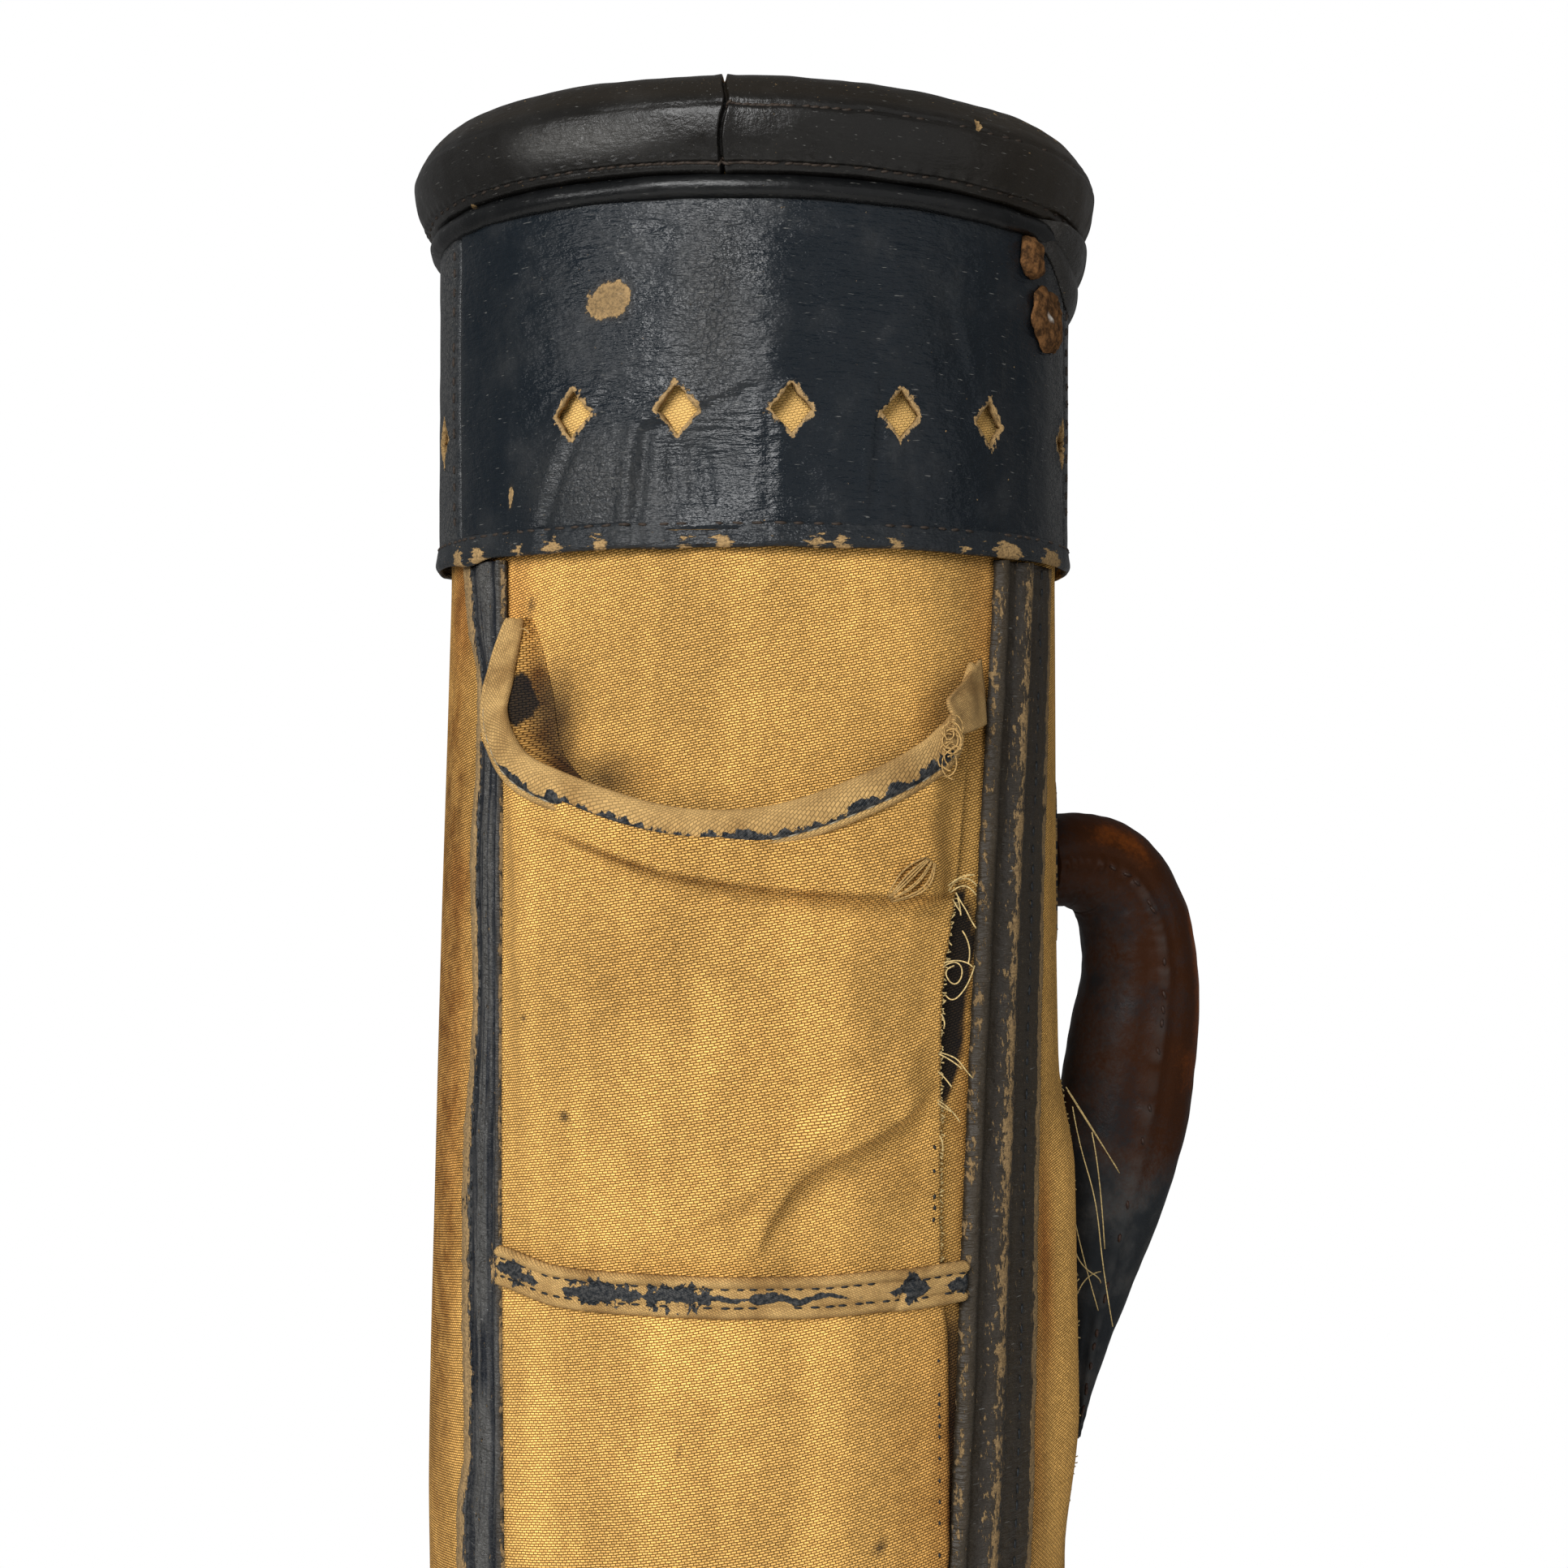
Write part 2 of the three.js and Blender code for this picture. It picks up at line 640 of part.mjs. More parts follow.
const top = group("top", [
  piece("collar_front", collarPiece(COLLAR_SEAM.left, COLLAR_SEAM.right, COLLAR_FRONT), "leather_black"),
  piece("collar_back", collarPiece(COLLAR_SEAM.right, COLLAR_SEAM.left + 360, COLLAR_BACK), "leather_black"),
  piece("collar_hem", collarHem(), "leather_black"),
  piece("rim_roll", rimRoll(), "leather_black"),
  piece("rim_piping", rimPiping(), "leather_black"),
  group("rust_plate_place", [plate], RUST_PLATE.azimuth, WALL_HEAD.shift),
  group("rust_rivet_place", [rivet], RUST_RIVET.azimuth, WALL_HEAD.shift),
]);

const handle = group("carrying_handle", [
  piece("handle", handleLoop(), "leather_brown"),
  piece("handle_tab_top", handleTab(TAB_LEVELS.top), "leather_black"),
  piece("handle_tab_bottom", handleTab(TAB_LEVELS.bottom), "leather_black"),
]);

const foot = group("foot", [
  piece("base_cuff", baseCuff(), "leather_black"),
  piece("base_disc", baseDisc(), "leather_black"),
]);

export default group("golf_bag", [body, pocket, top, handle, foot]);
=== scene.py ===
"""Old canvas and leather golf bag: the soft pieces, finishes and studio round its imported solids."""

import math
import random
from functools import partial

import bmesh
import bpy
from mathutils import Matrix, Vector, noise


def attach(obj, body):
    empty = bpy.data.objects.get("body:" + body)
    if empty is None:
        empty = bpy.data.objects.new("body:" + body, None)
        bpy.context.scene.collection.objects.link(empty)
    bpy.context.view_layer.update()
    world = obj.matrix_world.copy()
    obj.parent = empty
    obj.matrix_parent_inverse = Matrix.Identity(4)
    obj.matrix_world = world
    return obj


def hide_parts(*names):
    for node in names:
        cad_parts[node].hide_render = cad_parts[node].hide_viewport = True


bl_info = {
    "name": "Worn golf bag",
    "version": (1, 0, 0),
    "blender": (4, 5, 0),
    "location": "View3D > Sidebar > Golf bag",
    "description": "Dresses the solids of an old canvas and leather golf bag",
    "category": "Add Mesh",
}

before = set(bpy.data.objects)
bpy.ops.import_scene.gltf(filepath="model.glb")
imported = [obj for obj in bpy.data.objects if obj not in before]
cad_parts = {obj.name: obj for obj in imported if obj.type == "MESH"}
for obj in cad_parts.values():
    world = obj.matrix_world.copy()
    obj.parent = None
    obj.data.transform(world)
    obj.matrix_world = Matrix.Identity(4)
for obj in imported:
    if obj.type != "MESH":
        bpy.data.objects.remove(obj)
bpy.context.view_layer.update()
BODY_NAME = "root"
FLAT_MAP = "flat_mm"

# Sizes are in millimetres. Azimuth runs in degrees from the front, -Y, towards +X.
MM = 0.001
GAP = 0.3
CANVAS_THICK = 2.0
POCKET_THICK = 1.5
LEATHER_THICK = 2.2
MOUTH_TILT = 0.75
FLAT_RADIUS = 77.0
MM_PER_DEGREE = math.radians(1) * FLAT_RADIUS
# Points closer than this become one
WELD = 0.02
THREAD_WELD = 0.01
# Steps along a line, to measure it and to find its direction, and the reach of soft waves
LINE_STEPS = 200
HEADING_STEP = 0.004
WAVE_REACH = 57.3
# Shares of its usual length that a stitch may have
STITCH_LENGTHS = (0.82, 1.1)

# The photograph's camera, in pixels of its square frame
PHOTO_SIDE = 1932
PHOTO_FOCAL = 2740
PHOTO_HORIZON = 940
CAMERA_PLACE = (8.3, -551.8, 716.8)
SENSOR = 36.0
CLIP_START = 0.02

RIM_HEIGHT = 864.0
RIM_UP = 14.5
RIM_DOWN = 7.2
RIM_LINE = 74.0
RIM_MIDDLE = RIM_HEIGHT - RIM_UP
RIM_FOOT = RIM_MIDDLE - RIM_DOWN
PIPING_RADIUS = 2.0
PIPING_LINE = RIM_LINE + GAP + PIPING_RADIUS
PIPING_MIDDLE = RIM_FOOT - GAP - PIPING_RADIUS
COLLAR_RADIUS = 77.0
COLLAR_HEIGHT = 75.0
COLLAR_TOP = PIPING_MIDDLE - PIPING_RADIUS - GAP
COLLAR_FOOT = COLLAR_TOP - COLLAR_HEIGHT
COLLAR_LEFT = -62.0
COLLAR_RIGHT = 74.0
COLLAR_TUCK = 1.8
# The hide is cut from a grid, and points beside its holes that are closer than this become one
COLLAR_STEP = 1.2
COLLAR_ROWS = 60
HOLE_WELD = 0.35
HOLE_MARGIN = 2
HEM_HEIGHT = 5.5
HEM_PROUD = 0.5
HEM_THICK = 0.9
HEM_LAP = 1.5
HEM_SEAM = 0.88
# The hide is thinner than its solid, and its side seams are sewn a little to one side
COLLAR_SKIVED = 0.7
SEAM_BESIDE = 2.2
WALL_TOP = RIM_FOOT - GAP
BASE_THICK = 6.0
BASE_RADIUS = 78.0
WALL_FOOT = BASE_THICK + GAP
CUFF_TOP = WALL_FOOT + 70.0
CUFF_SEAMS = (0.05, 0.93)
STRIP_FOOT = CUFF_TOP + GAP
STRIP_TOP = COLLAR_FOOT - GAP
SEAM_GAP = 0.12
STRIP_THICK = 1.4


def table(columns, *rows):
    """Rows of numbers under named columns."""
    names = columns.split()
    return [dict(zip(names, row, strict=True)) for row in rows]


def named_table(columns, *rows):
    """Rows of a table by their name."""
    return {row["name"]: row for row in table(columns, *rows)}


# How finely each sheet is divided, across and up
GRIDS = {
    "canvas_front": (110, 260),
    "canvas_back": (150, 200),
    "strip": (52, 560),
    "hem": (300, 14),
    "rim": (110, 460),
    "piping": (12, 260),
    "rust": (48, 16),
    "folds": (70, 34),
    "pocket": (130, 150),
    "binding": (40, 190),
    "band": (160, 32),
    "lower": (90, 220),
    "lining": (30, 70),
    "tab": (20, 20),
    "handle": (72, 240),
    "patch": (34, 40),
    "cuff": (220, 40),
    "area": (60, 60),
}
# Rows of stitches; no pitch means the pitch that the user sets
SEWING = named_table(
    "name length pitch thick slack missing slant",
    ("strip", 2.6, 4.0, 0.8, 0.12, 0.12, 0.0),
    ("hem", 3.0, None, 0.75, 0.12, 0.2, 0.0),
    ("collar", 2.6, None, 0.75, 0.12, 0.1, 0.0),
    ("rim foot", 2.8, None, 0.8, 0.12, 0.05, 0.15),
    ("rim seam", 2.8, None, 0.8, 0.12, 0.3, 0.15),
    ("band", 2.4, 3.2, 0.75, 0.12, 0.15, 0.0),
    ("panel edge", 1.1, 2.4, 0.7, 0.12, 0.3, 0.0),
    ("pocket edge", 1.3, 3.0, 0.8, 0.12, 0.3, 0.0),
    ("binding", 3.6, 3.9, 0.6, 0.12, 0.0, 0.0),
    ("handle", 2.6, 4.6, 1.0, 0.45, 0.4, 0.0),
    ("patch", 2.6, 3.8, 0.8, 0.12, 0.0, 0.0),
    ("cuff", 3.0, None, 0.9, 0.12, 0.0, 0.0),
)

# Body wall: outside radius, azimuths of the two long seams, and how far the axis wanders
BODY = table(
    "z radius left right shift",
    (WALL_FOOT, 75.6, -45, 40, 0),
    (300, 77.5, -46, 41, -0.2),
    (522, 78.3, -48.5, 44, -0.6),
    (545, 78.5, -49, 45.2, -0.5),
    (623, 76.9, -51, 49.4, -0.5),
    (676, 75.6, -52.5, 52.7, -0.2),
    (744, 74.3, -54.4, 56.9, 0.7),
    (COLLAR_FOOT, 74, -55, 58, 0.9),
    (COLLAR_TOP, 74, -55, 58, 1.1),
    (WALL_TOP, 74, -55, 58, 1.1),
)
SIDE_BULGE = {"azimuth": 79, "half": 15, "foot": (525, 562), "top": (618, 645), "height": 3.5}

# Leather strips: width, then ridges across it as shares of the width
STRIP_WIDTH = {"left": 20.0, "right": 29.0}
STRIP_RIDGES = {
    "left": table("across half height", (0.58, 0.28, 0.6), (0.9, 0.1, 0.7)),
    "right": table("across half height", (0.09, 0.1, 1.6), (0.4, 0.16, 1.9)),
}
# Where the stitches run, and how much finish has gone all over
STRIP_GROOVE = {"left": 0.3, "right": 0.71}
STRIP_DULL = {"left": 0.12, "right": 0.16}
# How much of the left strip's width the side canvas covers
STRIP_COVERED = table(
    "z share",
    (539, 0.02), (550, 0.05), (560, 0.2), (592, 0.16), (631, 0.2), (645, 0.32), (662, 0.4), (696, 0.3),
    (715, 0.4), (737, 0.4), (748, 0.15), (760, 0.02),
)
# Where the strips' finish has rubbed through: place across, half width, how much, length of a rub
STRIP_RUBS = {
    "left": table(
        "across half amount run",
        (0.08, 0.3, 1.35, 9),
        (0.55, 0.3, 0.25, 6),
        (0.97, 0.04, 0.8, 15),
    ),
    "right": table(
        "across half amount run",
        (0.03, 0.07, 0.5, 6),
        (0.3, 0.12, 0.36, 7),
        (0.39, 0.12, 0.78, 7),
        (0.5, 0.12, 0.4, 6),
        (0.94, 0.1, 1.3, 3),
    ),
}
# Where a strip's dye is brown rather than navy
STRIP_BROWN = {
    "left": table("across half", (0.0, 0.3), (0.96, 0.08)),
    "right": table("across half", (0.1, 0.4), (0.5, 0.5), (0.9, 0.6)),
}
# Where the crests of a strip are rubbed grey and carry painted highlights
STRIP_CREST_RUBS_AND_HIGHLIGHTS = {
    "left": table("across half amount", (0.26, 0.12, 1.2), (0.58, 0.26, 2.2), (0.9, 0.1, 1.8)),
    "right": table("across half amount", (0.1, 0.14, 0.3), (0.4, 0.3, 0.3)),
}
# How far the strips' two edges are gnawed, in millimetres
STRIP_GNAWED = {"left": (1.1, 0.3), "right": (0.4, 1.0)}

# Diamond holes through the collar
HOLE = {"z": 792.5, "half_wide": 4.6, "half_tall": 5.3, "pitch": 18.4}
HOLES = [face + step * HOLE["pitch"] for face in (6.6, 186.6) for step in range(-2, 3)]
HOLES += [-71, 71, 125, 248]

# Dents and swellings of the collar's leather
DENTS = table(
    "azimuth z half_wide half_tall depth",
    (-8, 780, 12, 16, 2.2),
    (3, 806, 9, 40, -1.1),
    (-30, 780, 15, 15, -1.3),
    (36, 785, 18, 16, -0.9),
    (-8, 818, 9, 22, -1.0),
    (27, 812, 9, 22, -0.7),
    (-52, 812, 10, 24, 0.8),
    (50, 800, 7, 20, 0.8),
)
# Sharp creases of the collar from one spot to another; a raised lip runs along one side
CREASES = table(
    "from_azimuth from_z to_azimuth to_z half depth",
    (3.2, 797, 2.6, 767, 2.2, 0.25),
    (-19, 767, -17, 788, 2.0, 1.5),
    (-17, 788, -6, 793, 1.8, 1.4),
    (-6, 793, 1, 797, 1.6, 0.8),
    (-37, 767, -29, 788, 2.4, 1.0),
    (-29, 788, -22, 800, 1.8, 0.6),
    (-13, 786, -12, 768, 1.4, 0.6),
    (-8, 788, -6, 770, 1.4, 0.5),
    (20, 770, 22, 800, 1.6, 0.6),
    (27, 768, 26, 786, 1.4, 0.25),
    (33, 822, 41, 792, 2.4, 0.25),
)
# Places on the collar where the surface is rubbed through to tan fibre
SCUFFS = table(
    "azimuth z half_wide half_tall amount",
    (-22.6, 816.6, 4.3, 5.6, 2.1),
    (-25.2, 815.6, 3.4, 4.2, 1.9),
    (-44, 776, 0.8, 3.6, 1.6),
    (73.4, 800, 1.2, 34, 0.4),
)
# Places on the collar painted grey: dust and rubbed crackle with painted sheen in the middle, and painted
# sheen over the wrinkles low on the left
COLLAR_RUBS_AND_SHEEN = table(
    "azimuth z half_wide half_tall amount",
    (-6, 812, 9, 36, 0.46),
    (-26, 777, 22, 18, 0.4),
)
# Patches on the turned foot of the collar where the leather is worn to fibre
HEM_PATCHES = table(
    "azimuth half amount",
    (-61, 5.5, 1.1), (-53, 4.5, 0.9), (-42, 3.0, 0.55), (-34, 5.0, 0.75), (-25, 4.0, 0.7),
    (-10, 4.0, 0.5), (-4.2, 3.4, 0.75), (10, 5.0, 0.6), (15, 3.4, 0.7), (24, 4.0, 0.55), (38, 3.0, 0.5),
    (48, 6.5, 1.1), (64, 8, 1.2), (95, 8, 0.8), (130, 6, 0.7), (168, 10, 0.8), (214, 7, 0.7),
    (250, 9, 0.9),
)

# The turned foot of the collar, from its inside edge round to its top
HEM_OUTLINE = table(
    "up radius z",
    (0.0, COLLAR_RADIUS - 0.6, COLLAR_FOOT + 1.2), (0.2, COLLAR_RADIUS - 0.1, COLLAR_FOOT + 0.1),
    (0.4, COLLAR_RADIUS + HEM_PROUD + 0.2, COLLAR_FOOT + 1.1),
    (0.7, COLLAR_RADIUS + HEM_PROUD, COLLAR_FOOT + 3.6),
    (0.9, COLLAR_RADIUS + HEM_PROUD - 0.3, COLLAR_FOOT + HEM_HEIGHT),
    (1.0, COLLAR_RADIUS - 0.5, COLLAR_FOOT + HEM_HEIGHT + 0.6),
)

# Padded rim
RIM_CRACK = -4.2
RIM_NICK = 37.4
# The roll's section: its outer face leans out to a seam, then turns in over the top
RIM_OUTLINE = table(
    "share radius z",
    (0.0, 70.0, 842.4), (0.06, 75.5, 842.0), (0.12, 78.7, 842.7), (0.17, 80.3, 844.8),
    (0.25, 82.2, 848.8), (0.33, 83.0, 853.2), (0.37, 82.9, 855.4), (0.39, 82.4, 856.4),
    (0.45, 80.6, 859.6), (0.52, 77.8, 862.5), (0.6, 73.5, 864.0), (0.68, 69.2, 862.3),
    (0.76, 66.0, 857.5), (0.84, 65.2, 851.0), (0.92, 66.4, 845.2), (1.0, 70.0, 842.4),
)
# Where the roll is worn to fibre: a nick, a fleck and the top of the crack
RIM_MARKS = table(
    "azimuth share half_wide half_tall amount",
    (RIM_NICK, 0.4, 0.9, 0.045, 1.6),
    (-54, 0.1, 1.3, 0.03, 1.7),
    (RIM_CRACK, 0.56, 0.8, 0.05, 0.8),
)
RIM_SEAM_SHARE = 0.375
RIM_FOOT_SHARE = 0.145
RIM_SEWN_FROM = 0.51
RIM_GIRTH = 64.0
# Length of a pucker at the foot's seam, and how closely the ring's steps crowd beside the crack
RIM_PUCKER = 4.2
RIM_CROWDED = 0.86
# How the crack wanders on its way down the roll, in degrees
CRACK_LINE = table("z away", (842, 0.0), (848, -0.25), (852, 0.1), (856, 0.75), (860, 0.35), (865, -0.1))

# Ball pocket
POCKET_FOOT = 603.2
POCKET_BELLY = 6.5
POCKET_EDGE = 0.4
POCKET_HEAD_LEFT = 724
POCKET_HEAD_RIGHT = 720
POCKET_RIGHT = table(
    "z azimuth",
    (STRIP_FOOT, 27.5), (520, 33.6), (590, 34.2), (604, 33), (664, 34.3), (700, 38), (744, 41),
)
MOUTH = table(
    "azimuth z off",
    (-43.3, 749, 2.4), (-43.9, 738, 5), (-43.4, 727, 7.4), (-37, 717, 10), (-28, 711.5, 10.5),
    (-15, 705.5, 10), (-5.5, 703.5, 9.5), (5, 704.7, 9), (17, 710.5, 8.5), (30.5, 719.5, 6.8),
    (35.5, 727, 4.8), (40.3, 738.5, 2.4),
)
MOUTH_RUN = MOUTH[2:11]
MOUTH_LINE = [{"share": index / (len(MOUTH) - 1), **row} for index, row in enumerate(MOUTH)]
MOUTH_LENGTH = 132.0
BINDING_SEAM = 0.56
BINDING_SEWN = (0.16, 0.86)
# How far the leather shows above the binding's seam, along the mouth
BINDING_FLAKES = table(
    "along reach",
    (0.0, 0.0), (0.24, 0.0), (0.28, 1.3), (0.36, 1.8), (0.48, 1.9), (0.6, 1.8), (0.68, 1.3),
    (0.74, 1.8), (0.82, 2.3), (0.85, 0.0), (1.0, 0.0),
)
BINDING_HALF_WIDE = 3.4
BINDING_HALF_THICK = 1.6
BAND_FOOT = 598.0
BAND_TOP = 608.0
BAND_THICK = 1.2
BAND_SEAMS = {"band low": 0.28, "band high": 0.72}
# Stitches beside the right edges of the lower panel and the pocket: how far across and up they run
EDGE_SEAMS = table(
    "name across start end", ("panel edge", 0.975, 0.72, 0.97), ("pocket edge", 0.985, 0.08, 0.3)
)
LINING_THICK = 0.3
LINING_REACH = 0.36
TAB_THICK = 0.8
TAB_LIFT = (9.0, 3.4)
# Flat cloths: the arc that each covers, at which height, how far outside the wall, and its top
POCKET_CUT = {"arc": 88, "level": 700, "outside": 6, "top": 720}
LOWER_CUT = {"arc": 75, "level": 300, "outside": 2, "top": POCKET_FOOT}
# The band's section, and how far the leather shows from its middle line
BAND_OUTLINE = table(
    "up rise",
    (0.0, 0.5), (0.06, 1.5), (0.14, 2.0), (0.22, 1.8), (0.28, 1.2), (0.36, 1.6), (0.64, 1.6),
    (0.72, 1.2), (0.78, 1.9), (0.88, 2.2), (0.95, 1.6), (1.0, 0.5),
)
BAND_FLAKES = table(
    "across reach",
    (0.0, 0.4), (0.03, 2.2), (0.09, 2.8), (0.115, 0.2), (0.17, 0.2), (0.19, 2.6), (0.32, 2.6),
    (0.345, 0.9), (0.36, 3.0), (0.46, 3.0), (0.485, 0.8), (0.56, 1.2), (0.7, 0.6), (0.82, 0.2),
    (0.84, 2.6), (0.89, 2.8), (0.91, 0.3), (0.95, 0.4), (0.97, 2.2), (1.0, 2.2),
)
# The loose tab at the mouth's right end: azimuth and height of its corners
TAB_CORNERS = {
    "foot_left": (32.4, 722.5),
    "top_left": (31.0, 730.6),
    "foot_right": (42.6, 725.5),
    "top_right": (42.4, 740.0),
}
# Folds of the slack pocket: the line that each follows
FOLD_UNDER_MOUTH = table(
    "azimuth z", (-36, 706), (-26, 702), (-11, 695), (4, 691.5), (20, 689.6), (38, 689)
)
FOLD_ACROSS = table("azimuth z", (-6, 600), (1.5, 612), (4.5, 622), (9, 631), (19.5, 638.5), (33, 648))
FOLD_BESIDE = table("azimuth z", (-20, 611), (-8, 619), (4, 630), (12, 640), (30, 655))
# The torn edge of the pocket, and the dark gap that it leaves
TEAR = {"foot": 641, "top": 688, "pull": 1.4, "lift": 1.6}
TEAR_EDGE = table(
    "z azimuth",
    (641, 34.5), (646.6, 38), (664.5, 40.5), (671.6, 41.9), (679.7, 43.1), (686.2, 40.9), (692, 38),
)
# Painted shade on the front panel inside the pocket's mouth
MOUTH_SHADES = table(
    "azimuth z half_wide half_tall amount",
    (-35, 724, 8, 24, 1.0),
    (-25, 713, 11, 9, 0.8),
    (-8, 707, 22, 6, 0.3),
    (37, 729, 7, 14, 0.5),
    (26, 716, 11, 6, 0.4),
)
# Right edge of the lining inside the pocket's left end
LINING_EDGE = table(
    "z azimuth", (709, -25), (713, -28.5), (719.6, -33), (733, -35.6), (743.6, -38.6), (752, -42)
)
# Loose threads, each a line of spots in the photograph's pixels, and how far back it hangs
THREAD_SEED = 23
TEAR_BACK = -68.0
TEAR_FRINGE = {"count": 110, "foot": 607, "top": 688, "lengths": (0.3, 1.1)}
TEAR_THREADS = (
    ((1169, 1098), (1174, 1088), (1184, 1081), (1197, 1082), (1204, 1092)),
    ((1168, 1092), (1178, 1083), (1188, 1077), (1201, 1078)),
    ((1171, 1100), (1183, 1090), (1192, 1087), (1203, 1103)),
    ((1174, 1108), (1178, 1116), (1184, 1124)),
    ((1180, 1106), (1183, 1115), (1184, 1128)),
    ((1178, 1100), (1184, 1112), (1192, 1122), (1196, 1134), (1203, 1144)),
    ((1186, 1147), (1195, 1160), (1197, 1174), (1193, 1188)),
    (
        *((1162, 1192), (1172, 1184), (1185, 1186), (1187, 1203)),
        *((1178, 1216), (1167, 1208), (1163, 1194), (1176, 1190)),
    ),
    ((1163, 1187), (1178, 1181), (1192, 1184), (1199, 1192)),
    ((1165, 1226), (1172, 1236), (1184, 1228), (1196, 1208), (1201, 1190)),
    ((1160, 1250), (1166, 1258), (1163, 1268)),
    ((1158, 1297), (1172, 1301), (1183, 1306), (1190, 1320), (1199, 1329)),
    ((1157, 1299), (1170, 1305), (1180, 1312), (1186, 1318)),
    ((1156, 1321), (1164, 1327), (1173, 1340)),
    ((1155, 1356), (1168, 1363), (1176, 1372), (1183, 1383)),
    ((1156, 1360), (1163, 1366), (1172, 1370)),
    ((1158, 1400), (1163, 1408), (1162, 1420)),
)
SIDE_FRINGE = {"count": 90, "foot": 536, "top": 640, "azimuth": 83, "lengths": (0.3, 0.8), "thick": 0.9}
SIDE_BACK = (-12.0, 4.0)
SIDE_THREADS = (
    ((1314, 1340), (1334, 1370), (1358, 1410), (1380, 1446)),
    ((1316, 1344), (1334, 1374), (1355, 1406), (1377, 1440)),
    ((1322, 1364), (1330, 1412), (1346, 1456), (1356, 1512), (1358, 1556), (1372, 1636)),
    ((1346, 1396), (1356, 1444), (1359, 1496), (1362, 1540)),
    ((1324, 1500), (1334, 1548), (1346, 1588), (1354, 1616)),
    ((1326, 1544), (1336, 1572), (1356, 1570), (1357, 1582)),
    ((1328, 1596), (1336, 1576), (1346, 1570), (1357, 1568)),
)
MOUTH_BACK = -71.0
MOUTH_KNOT = {"x": 1172, "y": 917, "half_wide": 12, "half_tall": 28}
MOUTH_KNOT |= {"count": 22, "parts": 6, "sizes": (6, 15)}
MOUTH_ENDS_BACK = (-66, -67)
MOUTH_ENDS = (((640, 776), (647, 772), (652, 781)), ((742, 950), (737, 958), (728, 962)))
# Threads pulled loose from the pocket, bowed between two places, and the middle of the patch
PULLED = {"count": 8, "parts": 5, "bow": 3.0, "across": 0.85, "thick": 1.2}
PULLED |= {"azimuths": (21.3, 27.9), "levels": (687.9, 695.9), "middle": (24.6, 691.9), "half": 5.2}

# Carrying handle: reach is from the body wall to the middle of the padding
HANDLE_AZIMUTH = 108.0
HANDLE = table(
    "share reach z half wide",
    (0.0, 3.6, 691.2, 11.6, 11.6),
    (0.1, 13, 691.5, 12.4, 12.4),
    (0.2, 23, 687.5, 13.4, 13.4),
    (0.3, 29.7, 676, 14.4, 14.4),
    (0.4, 31.4, 660, 15.6, 15),
    (0.5, 28.6, 640, 17.5, 15),
    (0.6, 23.4, 615, 17.2, 14.5),
    (0.7, 16.2, 590, 13.4, 13.6),
    (0.8, 10.4, 567, 8.1, 12.4),
    (0.9, 7.3, 551, 4.2, 11.6),
    (1.0, 6.3, 544, 3.3, 11),
)
HANDLE_SEAMS = (math.radians(92), math.radians(-92))
HANDLE_SEWN = (0.1, 0.93)
HANDLE_LENGTH = 205.0
# Where palms have rubbed the handle brown: shares of its length, and turns round it in radians
PALM_RUBS = table(
    "along turn half_long half_turn amount",
    (0.15, 0.9, 0.12, 0.9, 0.4),
    (0.38, 0.35, 0.18, 0.8, 0.85),
    (0.52, 0.7, 0.09, 0.8, 0.2),
)
# Patches that hold the handle's ends: width, then foot and top
TAB_DEGREES = 24.0
TABS = {"top": (672.0, 712.0), "bottom": (536.0, 568.0)}
TAB_SEAMS = (0.07, 0.93)

# Rusted pieces: a power below 1 squares the outline
RUST = named_table(
    "name node azimuth z half_wide half_tall rise power",
    ("rust_oblong", "rust_plate", 55.0, 832.4, 4.4, 5.0, 2.4, 0.75),
    ("rust_oval", "rust_rivet", 62.0, 819.6, 8.5, 7.6, 1.6, 0.9),
)
# Folds of hide beside them: the azimuths of their ends, and the heights of their foot
FOLDS = {"azimuths": (56.5, 122), "feet": (836.5, 825.5), "thick": 1.0}

# Half of the base's section, from the middle of its underside to the middle of its top
BASE_OUTLINE = table(
    "radius z",
    (0, 0.8), (30, 0.8), (58, 0.7), (62, 0.0), (76, 0.0), (77.5, 0.5), (BASE_RADIUS, 1.6),
    (BASE_RADIUS, 4.4), (77.4, 5.5), (76, BASE_THICK), (40, BASE_THICK), (0, BASE_THICK),
)
BASE_STEPS = 120
FLOOR_STEPS = 96

# Square soft lights, in metres and watts, and the spot that they face
LIGHTS = table(
    "x y z wide watts",
    (-0.55, -1.62, 1.4, 0.9, 41),
    (-1.5, -1.0, 0.85, 0.6, 8),
    (1.3, -1.3, 0.75, 2.2, 8),
)
LIGHT_AIM = (0, 0, 0.68)
ROOM_LIGHT = 0.17
